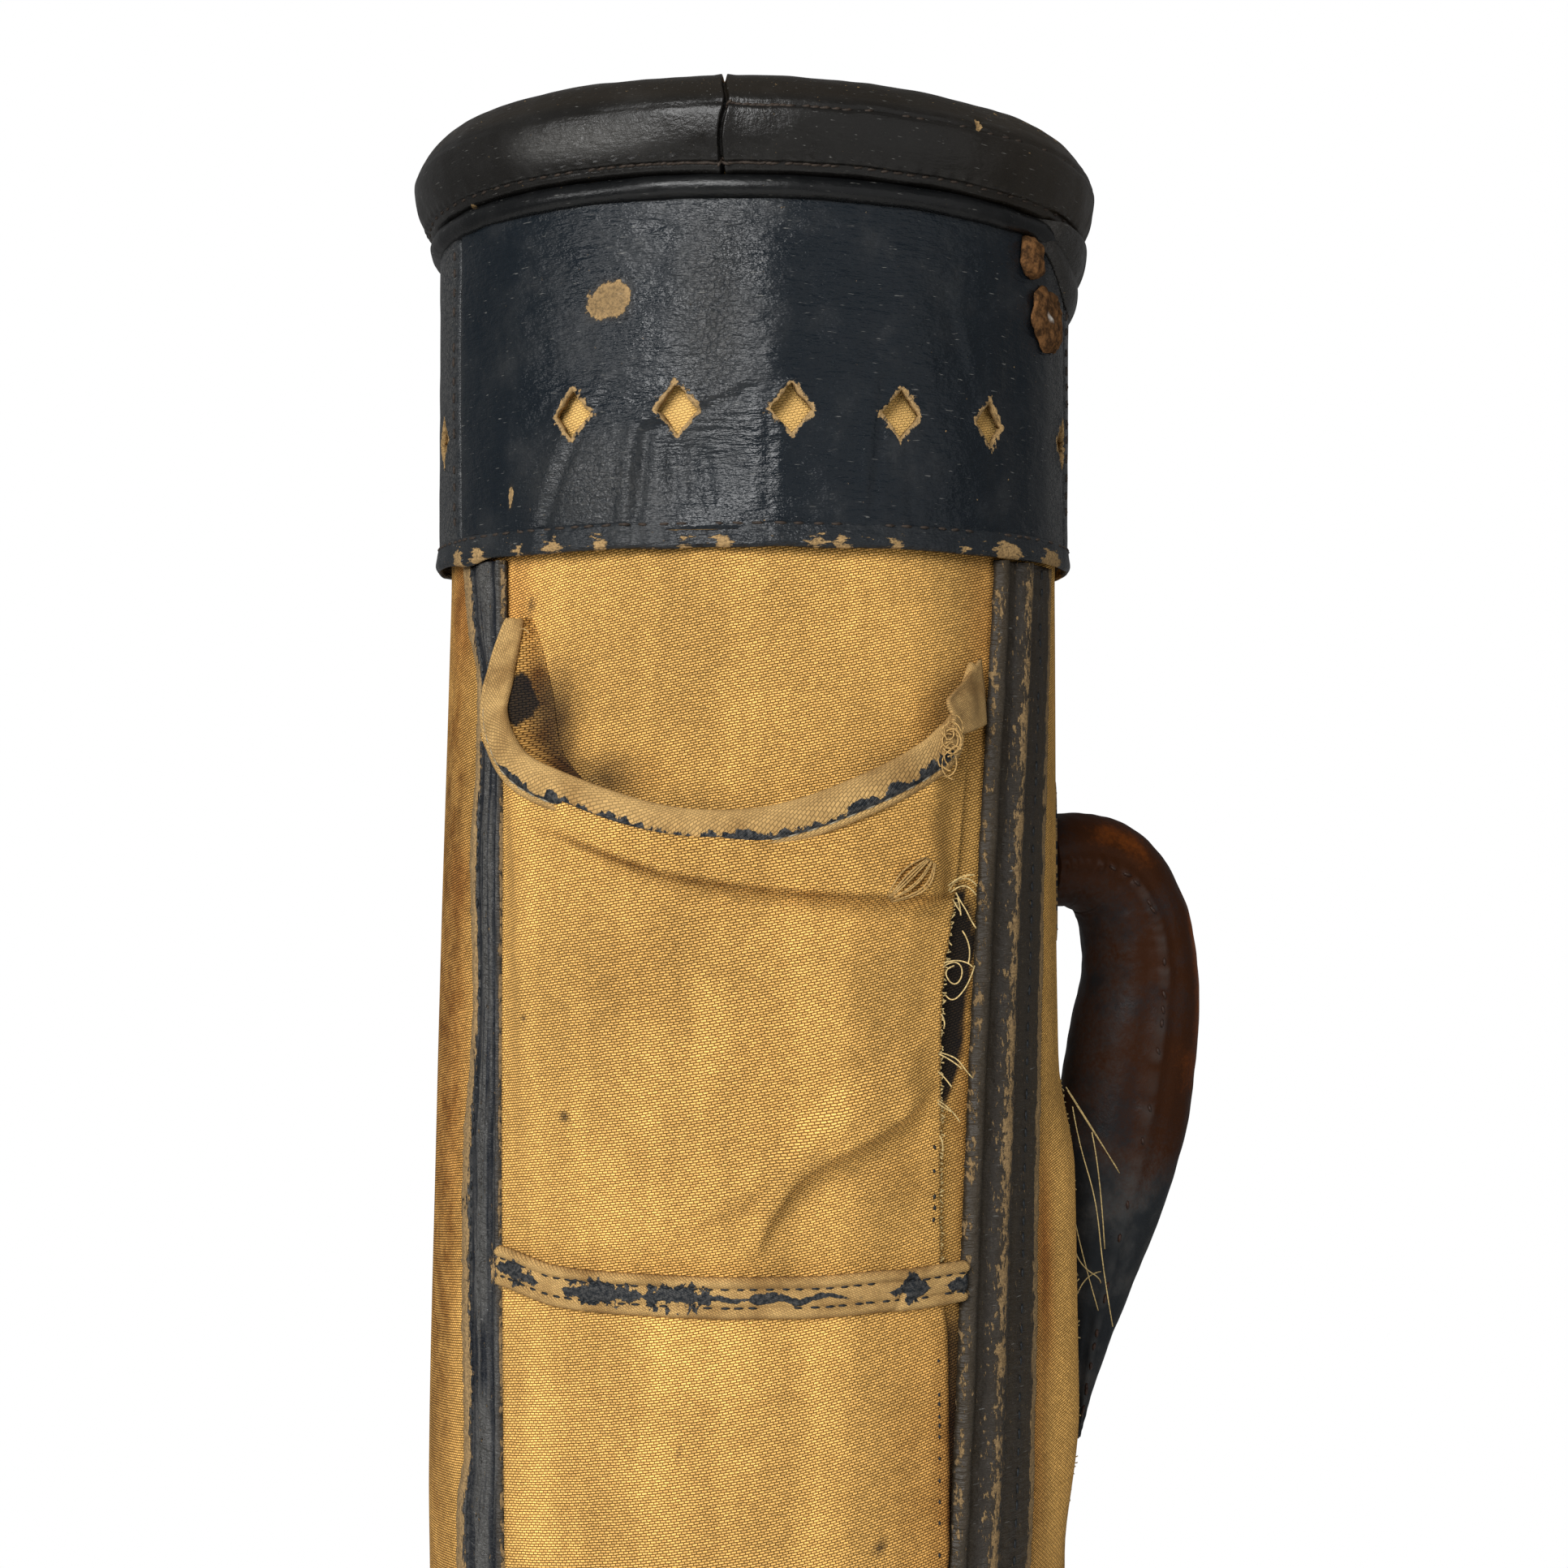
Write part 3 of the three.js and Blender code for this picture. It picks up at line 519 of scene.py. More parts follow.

# Stains of the canvas: tint is rust orange, and the soil column is grey brown dirt and painted shade
# Rows inside the mouth, under the binding and beside the right edges of the pocket and lower panel are
# painted shade; the long row down the left side is dirt and painted shade
STAINS = table(
    "azimuth z half_wide half_tall tint soil",
    (-47, 750, 12, 34, 0.4, 0.0),
    (46, 742, 10, 44, 0.25, 0.55),
    (-66, 756, 14, 26, 0.5, 0.2),
    (-64, 690, 9, 16, 0.4, 0.5),
    (-62, 640, 10, 60, 0.2, 0.15),
    (-70, 650, 20, 220, 0.1, 1.35),
    (30, 555, 12, 70, 0.1, 0.5),
    (0, 696, 46, 15, 0.0, 0.3),
    (64, 600, 6, 40, 0.75, 0.5),
    (58, 560, 8, 40, 0.4, 0.2),
    (35, 560, 6, 50, 0.25, 0.3),
    (-40, 700, 9, 30, 0.0, 0.3),
    (30, 700, 12, 14, 0.0, 0.35),
    (-33, 724, 6, 22, 0.0, 0.75),
    (-20, 714, 12, 9, 0.0, 0.6),
    (34, 724, 8, 16, 0.0, 0.7),
    (-6, 608, 60, 6, 0.0, 0.3),
    (40, 640, 6, 60, 0.1, 0.8),
    (36, 545, 3.2, 60, 0.2, 1.0),
    (-16, 672, 15, 20, 0.0, 0.3),
    (3, 656, 10, 22, 0.0, 0.25),
    (26, 627, 9, 10, 0.0, 0.4),
    (150, 640, 40, 90, 0.3, 0.3),
    (210, 420, 50, 120, 0.3, 0.35),
    (100, 300, 40, 90, 0.2, 0.4),
    (0, 160, 50, 90, 0.2, 0.35),
)
# Small dark specks on the canvas
SPECKS = table(
    "azimuth z half",
    (-28, 640.5, 1.1), (21.5, 548, 1.2), (-33, 537, 1.3), (-41, 752, 0.9), (-36, 661, 0.6),
    (12, 585, 0.5), (-10, 570, 0.6), (3, 737, 0.7),
)


def clamp(value, low=0.0, high=1.0):
    return max(low, min(high, value))


def mix(start, end, share):
    return start + (end - start) * share


def full_turn(share):
    """An angle that goes once round, from half a turn back to half a turn on."""
    return mix(-math.pi, math.pi, share)


def ease(value, low, high):
    """A soft step from 0 at low to 1 at high."""
    share = clamp((value - low) / (high - low))
    return share * share * (3 - 2 * share)


def squared(value, power):
    """A rounded value drawn towards a square section."""
    return math.copysign(abs(value) ** power, value)


def hump(value, middle=0.0, half=1.0):
    """1 in the middle, and 0 from half a width to each side of it."""
    away = (value - middle) / half
    if abs(away) >= 1:
        return 0.0
    near = math.cos(away * math.pi * 0.5)
    return near * near


def look(rows, value, column):
    """Smooth look-up in a table that rises in its first column."""
    key = next(iter(rows[0]))
    last = len(rows) - 1
    at = 0
    while at < last - 1 and value > rows[at + 1][key]:
        at += 1
    start, end = rows[at], rows[at + 1]
    before, after = rows[max(at - 1, 0)], rows[min(at + 2, last)]
    span = end[key] - start[key]
    share = clamp((value - start[key]) / span)
    slope_in = (end[column] - before[column]) / (end[key] - before[key]) * span
    slope_out = (after[column] - start[column]) / (after[key] - start[key]) * span
    rise = end[column] - start[column]
    bow = slope_in + slope_out - 2 * rise
    return start[column] + share * (slope_in + share * (3 * rise - 2 * slope_in - slope_out + share * bow))


def body_radius(z):
    return look(BODY, z, "radius")


def polar(azimuth, radius, z):
    """A point by azimuth, radius and height, with the axis's wander and the mouth's dip."""
    turn = math.radians(azimuth)
    x = radius * math.sin(turn) + look(BODY, z, "shift")
    dip = x * math.tan(math.radians(MOUTH_TILT)) * clamp((z - COLLAR_FOOT) / COLLAR_HEIGHT)
    return Vector((x, -radius * math.cos(turn), z - dip)) * MM


def on_shell(azimuth, radius, z):
    """A point on the bag's wall and its spot on the flat cloth."""
    return polar(azimuth, radius, z), (azimuth * MM_PER_DEGREE, z)


def azimuth_of(flat):
    """The azimuth of a spot on the flat cloth."""
    return flat[0] / MM_PER_DEGREE


def wrapped(azimuth):
    """The same azimuth between -180 and 180."""
    return (azimuth + 180) % 360 - 180


def outward(azimuth):
    turn = math.radians(azimuth)
    return Vector((math.sin(turn), -math.cos(turn), 0))


def heading(point_at, share):
    """The direction of a line at a share of its length."""
    ahead = point_at(min(share + HEADING_STEP, 1))
    return (ahead - point_at(max(share - HEADING_STEP, 0))).normalized()


def rough(x, y, z):
    """Unevenness from -1 to 1 at a spot."""
    return noise.noise(Vector((x, y, z)))


def waves(azimuth, z, wide, tall, seed=0.0):
    """Soft unevenness from -1 to 1, of a given size in degrees and millimetres."""
    turn = math.radians(azimuth)
    reach = WAVE_REACH / wide
    return rough(reach * math.sin(turn), reach * math.cos(turn), z / tall + seed)


def seam_edge(side, z, way):
    """Azimuth of a strip's edge, on the side that way gives."""
    half = STRIP_WIDTH[side] / 2 + GAP
    return look(BODY, z, side) + way * math.degrees(half / body_radius(z))


def spot_sum(rows, column, azimuth, z):
    """Sum of a table's soft spots at a place on the wall."""
    total = 0.0
    for row in rows:
        across = hump(wrapped(azimuth - row["azimuth"]) / row["half_wide"])
        if across > 0:
            total += row[column] * across * hump(z, row["z"], row["half_tall"])
    return total


# Mesh making


def settle(bm, place, paints):
    """Moves each vertex of a flat mesh to its place, and keeps its flat spot and its painted values.

    A paint is one value, or a function of the vertex's two shares and its flat spot.
    """
    for name in paints:
        bm.verts.layers.float.new(name)
    layers = {name: bm.verts.layers.float[name] for name in paints}
    flat_map = bm.loops.layers.uv.new(FLAT_MAP)
    flats = {}
    for vert in bm.verts:
        x, y = vert.co.x, vert.co.y
        point, flat = place(x, y)
        flats[vert] = flat
        for name, paint in paints.items():
            vert[layers[name]] = paint(x, y, flat) if callable(paint) else paint
        vert.co = point
    for face in bm.faces:
        for loop in face.loops:
            loop[flat_map].uv = flats[loop.vert]


def grid(columns, rows):
    """A flat grid from 0 to 1 both ways."""
    bm = bmesh.new()
    bmesh.ops.create_grid(bm, x_segments=columns, y_segments=rows, size=0.5)
    bmesh.ops.translate(bm, verts=bm.verts, vec=(0.5, 0.5, 0))
    return bm


def bent_sheet(kind, place, paints):
    """A sheet bent from a flat grid: place gives a point and its flat spot from shares across and up."""
    bm = grid(*GRIDS[kind])
    settle(bm, place, paints)
    return bm


def ring(kind, place, paints):
    """A sheet bent right round, whose two ends meet."""
    bm = bent_sheet(kind, place, paints)
    bmesh.ops.remove_doubles(bm, verts=bm.verts, dist=WELD * MM)
    return bm


def tube(kind, place, paints):
    """A closed tube from a grid whose edges meet; open ends are filled."""
    bm = ring(kind, place, paints)
    ends = [edge for edge in bm.edges if edge.is_boundary]
    if ends:
        bmesh.ops.holes_fill(bm, edges=ends, sides=0)
    bmesh.ops.recalc_face_normals(bm, faces=bm.faces)
    return bm


def flat_area(place):
    """Area in square metres of a bent sheet."""
    bm = bent_sheet("area", place, {})
    area = sum(face.calc_area() for face in bm.faces)
    bm.free()
    return area


def line_on(place, across=None, up=None):
    """A line over a sheet, at one share across it or up it, with its outward direction."""

    def path(share):
        point, flat = place(share if across is None else across, share if up is None else up)
        return point, outward(azimuth_of(flat))

    return path


def part_of(path, start, end):
    """A part of a line, between two shares of it."""
    return lambda share: path(mix(start, end, share))


def stitch_row(bm, path, seed, kind):
    """Oval stitches along a line: path gives a point and its outward direction from a share of the line."""
    row = SEWING[kind]
    slack = row["slack"]
    thick = row["thick"] * MM / 2
    pitch = row["pitch"] or bpy.context.scene.bag_sizes.stitch_pitch / MM
    draw = random.Random(seed)
    steps = [path(step / LINE_STEPS)[0] for step in range(LINE_STEPS + 1)]
    run = sum((start - end).length for start, end in zip(steps, steps[1:], strict=False))
    count = max(2, round(run / (pitch * MM)))
    for index in range(count):
        share = (index + 0.5 + draw.uniform(-slack, slack)) / count
        turn = draw.uniform(-slack, slack) + row["slant"]
        size = row["length"] * MM * draw.uniform(*STITCH_LENGTHS)
        if draw.random() < row["missing"]:
            continue
        point, out = path(clamp(share))
        along = heading(lambda part: path(part)[0], share)
        side = out.cross(along).normalized()
        along = (along * math.cos(turn) + side * math.sin(turn)).normalized()
        side = out.cross(along).normalized()
        turned = Matrix((along, side, along.cross(side))).transposed().to_4x4()
        shape = Matrix.Diagonal((size / 2, thick, thick, 1))
        placed = Matrix.Translation(point) @ turned @ shape
        bmesh.ops.create_icosphere(bm, subdivisions=1, radius=1, matrix=placed)


def finish_piece(name, bm, finishes, stands_for=(), wall=0.0, rim_finish=0):
    """Makes the object of a finished mesh, which rides on the bag."""
    mesh = bpy.data.meshes.new(name)
    bm.normal_update()
    bm.to_mesh(mesh)
    bm.free()
    for finish in finishes:
        mesh.materials.append(finish_named(finish))
    mesh.polygons.foreach_set("use_smooth", [True] * len(mesh.polygons))
    piece = bpy.data.objects.new(name, mesh)
    bpy.context.scene.collection.objects.link(piece)
    if wall:
        thickness = piece.modifiers.new("wall", "SOLIDIFY")
        thickness.thickness = wall * MM
        thickness.offset = -1
        thickness.material_offset_rim = rim_finish
    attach(piece, BODY_NAME)
    if stands_for:
        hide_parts(*stands_for)
    return piece


def thread_piece(name, paths, thick, finish):
    """Loose threads: one thin tube along each list of points."""
    curve = bpy.data.curves.new(name, "CURVE")
    curve.dimensions = "3D"
    curve.bevel_depth = thick * MM / 2
    curve.bevel_resolution = 1
    curve.resolution_u = 5
    curve.use_fill_caps = True
    for path in paths:
        line = curve.splines.new("NURBS")
        line.points.add(len(path) - 1)
        for point, spot in zip(line.points, path, strict=True):
            point.co = (*spot, 1)
        line.order_u = min(4, len(path))
        line.use_endpoint_u = True
    holder = bpy.data.objects.new(name + "_line", curve)
    mesh = bpy.data.meshes.new_from_object(holder)
    bpy.data.objects.remove(holder)
    bpy.data.curves.remove(curve)
    bm = bmesh.new()
    bm.from_mesh(mesh)
    bpy.data.meshes.remove(mesh)
    bmesh.ops.remove_doubles(bm, verts=bm.verts, dist=THREAD_WELD * MM)
    bmesh.ops.recalc_face_normals(bm, faces=bm.faces)
    return finish_piece(name, bm, [finish])


# Finishes

# Mix nodes lay one colour over another by a share. These are their sockets.
SHARE, UNDER, OVER = 0, 6, 7
# Settings and outputs that all nodes of a kind share here
SHARED = {
    "Mix": {"data_type": "RGBA"},
    "MapRange": {"interpolation_type": "SMOOTHSTEP"},
    "UVMap": {"uv_map": FLAT_MAP},
}
OUTPUTS = {"Mix": 2, "Attribute": "Fac", "TexCoord": "Object", "LightPath": "Is Camera Ray"}
STAINED = {"blend_type": "MULTIPLY"}
TIMES = {"operation": "MULTIPLY"}
TIMES_PLUS = {"operation": "MULTIPLY_ADD"}
LESS = {"operation": "SUBTRACT"}

# Cowhide finishes: gloss is its lowest roughness, and a flake is a spot of finish that has gone
COWHIDES = named_table(
    "name dye gloss flake_wide flake_tall relief greyed crackle sheen",
    ("navy_cowhide", "leather", 0.22, 2.0, 2.0, 0.4, 0.16, 1.0, 0.3),
    ("hem_cowhide", "leather", 0.28, 3.4, 1.1, 0.5, 0.25, 0.0, 0.3),
    ("rim_cowhide", "rim_leather", 0.2, 2.0, 1.0, 0.14, 0.05, 0.0, 0.28),
    ("strip_cowhide", "strip_leather", 0.24, 0.7, 2.6, 0.6, 0.2, 0.0, 0.34),
)
# Threads: colour and roughness
THREADS = {
    "straw_thread": ("thread", 0.85),
    "brown_thread": ("stitch", 0.7),
    "black_thread": ("leather", 0.6),
    "waxed_thread": ("brown_leather", 0.6),
    "grey_thread": ("seam_thread", 0.8),
    "pulled_thread": ("tape", 0.9),
}
# Canvas tapes: colour
TAPES = {"tab_canvas": "tab", "tape_over_leather": "tape"}


def linear(code):
    """Linear colour from an sRGB hex code."""
    parts = [int(code[at : at + 2], 16) / 255 for at in (1, 3, 5)]
    return [part / 12.92 if part <= 0.04045 else ((part + 0.055) / 1.055) ** 2.4 for part in parts]


def rgba(colour, light=1.0):
    """A colour with its alpha, made lighter or darker."""
    return (*(min(1.0, part * light) for part in colour[:3]), 1.0)


def add(tree, kind, links=(), out=None, **settings):
    """Adds a shader node with its settings and links, and gives one of its sockets.

    A link is another node's socket or a plain value. Links go by the inputs' names or numbers, or
    in the inputs' order, which for noise is its place, W, scale, detail and roughness.
    """
    made = tree.nodes.new("ShaderNode" + kind)
    for name, value in {**SHARED.get(kind, {}), **settings}.items():
        setattr(made, name, value)
    if not isinstance(links, dict):
        links = dict(enumerate(links))
    for socket, value in links.items():
        if isinstance(value, bpy.types.NodeSocket):
            tree.links.new(value, made.inputs[socket])
        else:
            made.inputs[socket].default_value = value
    return made.outputs[out or OUTPUTS.get(kind, 0)] if len(made.outputs) else made


def new_finish(name):
    """An empty material, and the function that adds its nodes."""
    finish = bpy.data.materials.new(name)
    finish.use_nodes = True
    finish.node_tree.nodes.clear()
    return finish, partial(add, finish.node_tree)


def object_place(node):
    """Object coordinates in millimetres."""
    return node("VectorMath", {0: node("TexCoord"), "Scale": 1 / MM}, operation="SCALE")


def close_finish(node, tone, dullness, sheen, height, strength, depth, metal=0.0):
    """Joins the looks of a finish to its surface; depth is that of its relief in millimetres."""
    surface = {
        "Base Color": tone,
        "Metallic": metal,
        "Roughness": dullness,
        "Specular IOR Level": sheen,
        "Normal": node("Bump", {"Height": height, "Strength": strength, "Distance": depth * MM}),
    }
    node("OutputMaterial", [node("BsdfPrincipled", surface)])


def shaded(node, pattern, low, high, colour, shade):
    """A colour that an uneven pattern lightens between two of its levels."""
    share = node("MapRange", (pattern, low, high))
    return node("Mix", {SHARE: share, UNDER: rgba(colour, shade), OVER: rgba(colour)})


def woven_canvas(name, colours):
    """Cotton canvas woven in a coarse twill.

    The eye sees short matt threads in staggered rows, darker in the gaps, with soft blotches of
    fading, long faint streaks, rust orange tints, grey brown dirt, and painted shade in grey brown and navy
    black.
    """
    finish, node = new_finish(name)
    flat = node("UVMap")
    thread_long = bpy.context.scene.bag_sizes.thread_long / MM
    thread_tall = thread_long / 2
    # The floats of a twill lean a little as they cross
    leaning = node("Mapping", {"Vector": flat, "Rotation": (0, 0, math.radians(-11))})
    # Threads wander by about a fifth of a millimetre
    drift = node("TexNoise", (flat, 0, 1 / 3.5, 2.0), "Color")
    drift = node("VectorMath", (drift, (0.5, 0.5, 0.5)), **LESS)
    threads = {
        "Vector": node("VectorMath", (drift, (0.5, 0.4, 0), leaning), **TIMES_PLUS),
        "Scale": 1.0,
        "Color1": rgba(colours.canvas, 1.26),
        "Color2": rgba(colours.canvas, 0.86),
        "Mortar": rgba(colours.canvas_gap),
        "Mortar Size": thread_tall * 0.24,
        "Mortar Smooth": 0.9,
        "Bias": 0.0,
        "Brick Width": thread_long,
        "Row Height": thread_tall,
    }
    weave = node("TexBrick", threads, offset=0.5, offset_frequency=2, squash=1.0)
    # Blotches about 40 mm wide, streaks about 10 mm wide along the cloth, and fuzz
    blotch = node("TexNoise", (flat, 0, 1 / 38, 5.0, 0.6))
    longwise = node("Mapping", {"Vector": flat, "Scale": (1 / 11, 1 / 160, 1)})
    streak = node("TexNoise", (longwise, 0, 1.0, 3.0))
    fuzz = node("TexNoise", (flat, 0, 1 / 0.7, 3.0, 0.7))
    blotch = node("MapRange", (blotch, 0.3, 0.7, 0.84, 1.14))
    streak = node("MapRange", (streak, 0.3, 0.7, 0.86, 1.12))
    fuzzy = node("MapRange", (fuzz, 0.25, 0.75, 0.88, 1.1))
    light = node("Math", (blotch, streak), **TIMES)
    light = node("Math", (light, fuzzy), **TIMES)
    grey = node("CombineColor", (light, light, light))
    tone = node("Mix", {SHARE: 1.0, UNDER: weave, OVER: grey}, **STAINED)
    tint = node("Attribute", attribute_name="tint")
    tint = node("Math", (tint, 0.75), **TIMES)
    tone = node("Mix", {SHARE: tint, UNDER: tone, OVER: rgba(colours.rust_tint)}, **STAINED)
    # The soil paint lays grey brown dirt and painted shade, broken up by grime
    grime = node("TexNoise", (flat, 0, 1 / 9, 6.0, 0.65))
    grime = node("MapRange", (grime, 0.25, 0.75, 0.35, 1.2))
    soil = node("Attribute", attribute_name="soil")
    soil = node("Math", (soil, grime), **TIMES)
    soil = node("Math", (soil, 0.8), **TIMES)
    tone = node("Mix", {SHARE: soil, UNDER: tone, OVER: rgba(colours.dirt)}, **STAINED)
    # The fresh paint shows unfaded cloth; the dark paint lays navy black over specks of dirt and over painted
    # shade
    for paint, colour in (("fresh", colours.fresh_canvas), ("dark", colours.leather)):
        share = node("Attribute", attribute_name=paint)
        tone = node("Mix", {SHARE: share, UNDER: tone, OVER: rgba(colour)})
    raised = node("Math", (1.0, weave.node.outputs["Fac"]), **LESS)
    raised = node("Math", (fuzz, 0.5, raised), **TIMES_PLUS)
    close_finish(node, tone, 0.92, 0.15, raised, 0.9, 0.45)
    return finish


def worn_cowhide(name, colours):
    """Dyed cowhide with a worn, half gloss finish.

    The eye sees a near black skin with fine wrinkles that catch the light, greyer patches that are
    partly rubbed and partly painted sheen and highlights, scratches, and tan fibre where flakes of the finish
    have gone.
    """
    row = COWHIDES[name]
    finish, node = new_finish(name)
    place = object_place(node)
    flat = node("UVMap")
    paints = ("wear", "bloom", "brown")
    wear, bloom, brown = (node("Attribute", attribute_name=paint) for paint in paints)

    def drawn_out(degrees, wide, tall, detail):
        """An uneven pattern drawn out across the hide, its size in millimetres."""
        turn = (0, 0, math.radians(degrees))
        turned = node("Mapping", {"Vector": flat, "Rotation": turn, "Scale": (1 / wide, 1 / tall, 1)})
        return node("TexNoise", (turned, 0, 1.0, detail, 0.65))

    # Cracks between grains of skin 1.6 mm wide where it is rubbed, bent so that no grain is a plain cell
    bent = node("TexNoise", (place, 0, 1 / 2.5, 3.0), "Color")
    bent = node("VectorMath", (bent, (2.4, 2.4, 2.4), place), **TIMES_PLUS)
    grain = node("TexVoronoi", {"Vector": bent, "Scale": 1 / 1.6}, feature="DISTANCE_TO_EDGE")
    grain = node("MapRange", (grain, 0.0, 0.2))
    grain = node("Math", (grain, 1.0), **LESS)
    cracked = node("Math", (bloom, row["crackle"]), **TIMES)
    grain = node("Math", (grain, cracked, 1.0), **TIMES_PLUS)
    fine = node("TexNoise", (place, 0, 1 / 0.6, 4.0, 0.7))
    patch = node("TexNoise", (place, 0, 1 / 14, 7.0, 0.66))
    # Greyed where it is rubbed and where sheen and highlights are painted, less so where the dye is brown
    greyed = node("MapRange", (patch, 0.46, 0.76, 0.0, row["greyed"]))
    greyed = node("Math", (greyed, bloom), operation="ADD")
    rubbed = node("Math", (grain, 0.5, fine), **TIMES_PLUS)
    rubbed = node("MapRange", (rubbed, 0.6, 1.15, 0.1, 1.1))
    browned = node("MapRange", (brown, 0, 1, 1.0, 0.3))
    for share in (rubbed, browned):
        greyed = node("Math", (greyed, share), **TIMES)
    # Pale scratches a fraction of a millimetre wide, drawn wider so that they show
    scratch = node("MapRange", (drawn_out(-63, 4.5, 0.55, 2.0), 0.66, 0.76, 0.0, 0.6))
    flake = drawn_out(0, row["flake_wide"], row["flake_tall"], 7.0)
    flake = node("Math", (flake, 0.5), **LESS)
    flake = node("Math", (flake, 2.4, wear), **TIMES_PLUS)
    worn = node("MapRange", (flake, 0.46, 0.58))
    dulled = node("MapRange", (brown, 0, 1, 1.0, 0.6))
    worn = node("Math", (worn, dulled), **TIMES)
    fibre = shaded(node, fine, 0.3, 0.62, colours.fibre, 0.4)
    tone = rgba(getattr(colours, row["dye"]))
    layers = (
        (brown, rgba(colours.brown_dye)),
        (greyed, rgba(colours.leather_bloom)),
        (scratch, rgba(colours.scratch)),
        (worn, fibre),
    )
    for share, colour in layers:
        tone = node("Mix", {SHARE: share, UNDER: tone, OVER: colour})
    shine = node("MapRange", (patch, 0.3, 0.7, row["gloss"], row["gloss"] + 0.2))
    for share, duller in ((worn, 0.45), (brown, 0.2)):
        shine = node("Math", (share, duller, shine), **TIMES_PLUS)
    # Skin wrinkles about a millimetre apart, over soft rises 7 mm wide
    height = node("Math", (fine, 0.3), **TIMES)
    reliefs = (
        (grain, 0.9),
        (drawn_out(20, 6, 1.1, 3.0), 2.6),
        (drawn_out(-38, 7, 1.6, 3.0), 2.6),
        (drawn_out(70, 7, 5, 4.0), 5.0),
        (worn, -1.2),
    )
    for relief, amount in reliefs:
        height = node("Math", (relief, amount, height), **TIMES_PLUS)
    wrinkled = node("Math", (bloom, 0.8, row["relief"]), **TIMES_PLUS)
    close_finish(node, tone, shine, row["sheen"], height, wrinkled, 0.35)
    return finish


def handle_leather(name, colours):
    """Waxed harness leather, darkened by hands.

    The eye sees a smooth brown black skin, rubbed to rust brown where palms held it, with small
    pits, a soft gloss, grey patches that are partly painted sheen, and grey highlights painted on the seam's
    puckers.
    """
    finish, node = new_finish(name)
    place = object_place(node)
    cloud = node("TexNoise", (place, 0, 1 / 13, 6.0, 0.62))
    fine = node("TexNoise", (place, 0, 1 / 1.1, 4.0, 0.7))
    patina = node("Attribute", attribute_name="patina")
    seam = node("Attribute", attribute_name="seam")
    for pattern, amount in ((cloud, 0.75), (fine, 0.35)):
        uneven = node("Math", (pattern, 0.5), **LESS)
        patina = node("Math", (uneven, amount, patina), **TIMES_PLUS)
    tone = rgba(colours.leather)
    # Grey cloud, partly painted sheen, then brown patina, rust brown rubs and the seam's painted highlights
    layers = (
        (node("MapRange", (cloud, 0.4, 0.75, 0.15, 0.7)), colours.leather_bloom),
        (node("MapRange", (patina, 0.05, 0.45)), colours.brown_leather),
        (node("MapRange", (patina, 0.5, 1.05)), colours.rubbed_leather),
        (seam, colours.leather_bloom),
    )
    for share, colour in layers:
        tone = node("Mix", {SHARE: share, UNDER: tone, OVER: rgba(colour)})
    shine = node("MapRange", (cloud, 0.3, 0.7, 0.34, 0.56))
    shine = node("Math", (seam, -0.2, shine), **TIMES_PLUS)
    pits = node("TexVoronoi", {"Vector": place, "Scale": 1 / 2.4}, feature="SMOOTH_F1")
    height = node("Math", (pits, 0.6, fine), **TIMES_PLUS)
    close_finish(node, tone, shine, 0.08, height, 0.35, 0.35)
    return finish


def raw_fibre(name, colours):
    """The cut edge of vegetable tanned hide: dry tan fibre, matt and uneven."""
    finish, node = new_finish(name)
    fine = node("TexNoise", (object_place(node), 0, 1 / 0.9, 5.0, 0.7))
    tone = shaded(node, fine, 0.3, 0.7, colours.fibre, 0.35)
    close_finish(node, tone, 0.95, 0.15, fine, 0.6, 0.4)
    return finish


def sewing_thread(name, colours):
    """Twisted linen thread: dull, with lighter and darker turns of its strands."""
    dye, dullness = THREADS[name]
    finish, node = new_finish(name)
    strand = node("TexNoise", (object_place(node), 0, 1 / 0.6, 3.0))
    tone = shaded(node, strand, 0.3, 0.65, getattr(colours, dye), 0.5)
    close_finish(node, tone, dullness, 1 - dullness, strand, 0.5, 0.15)
    return finish


def rusted_steel(name, colours):
    """Mild steel rusted through: brown crust shading to orange, pitted, with a bare nick painted bright as a
    glint.
    """
    finish, node = new_finish(name)
    crust = node("TexNoise", (object_place(node), 0, 1 / 2.2, 7.0, 0.7))
    tone = shaded(node, crust, 0.38, 0.62, colours.rust, 0.22)
    # The nick is bare steel, painted near white and smooth so that it shines as a glint
    nick = node("Attribute", attribute_name="nick")
    tone = node("Mix", {SHARE: nick, UNDER: tone, OVER: rgba(colours.bare_steel)})
    dullness = node("MapRange", (nick, 0, 1, 0.82, 0.3))
    metal = node("Math", (nick, 0.6), **TIMES)
    close_finish(node, tone, dullness, 0.12, crust, 0.8, 0.5, metal)
    return finish


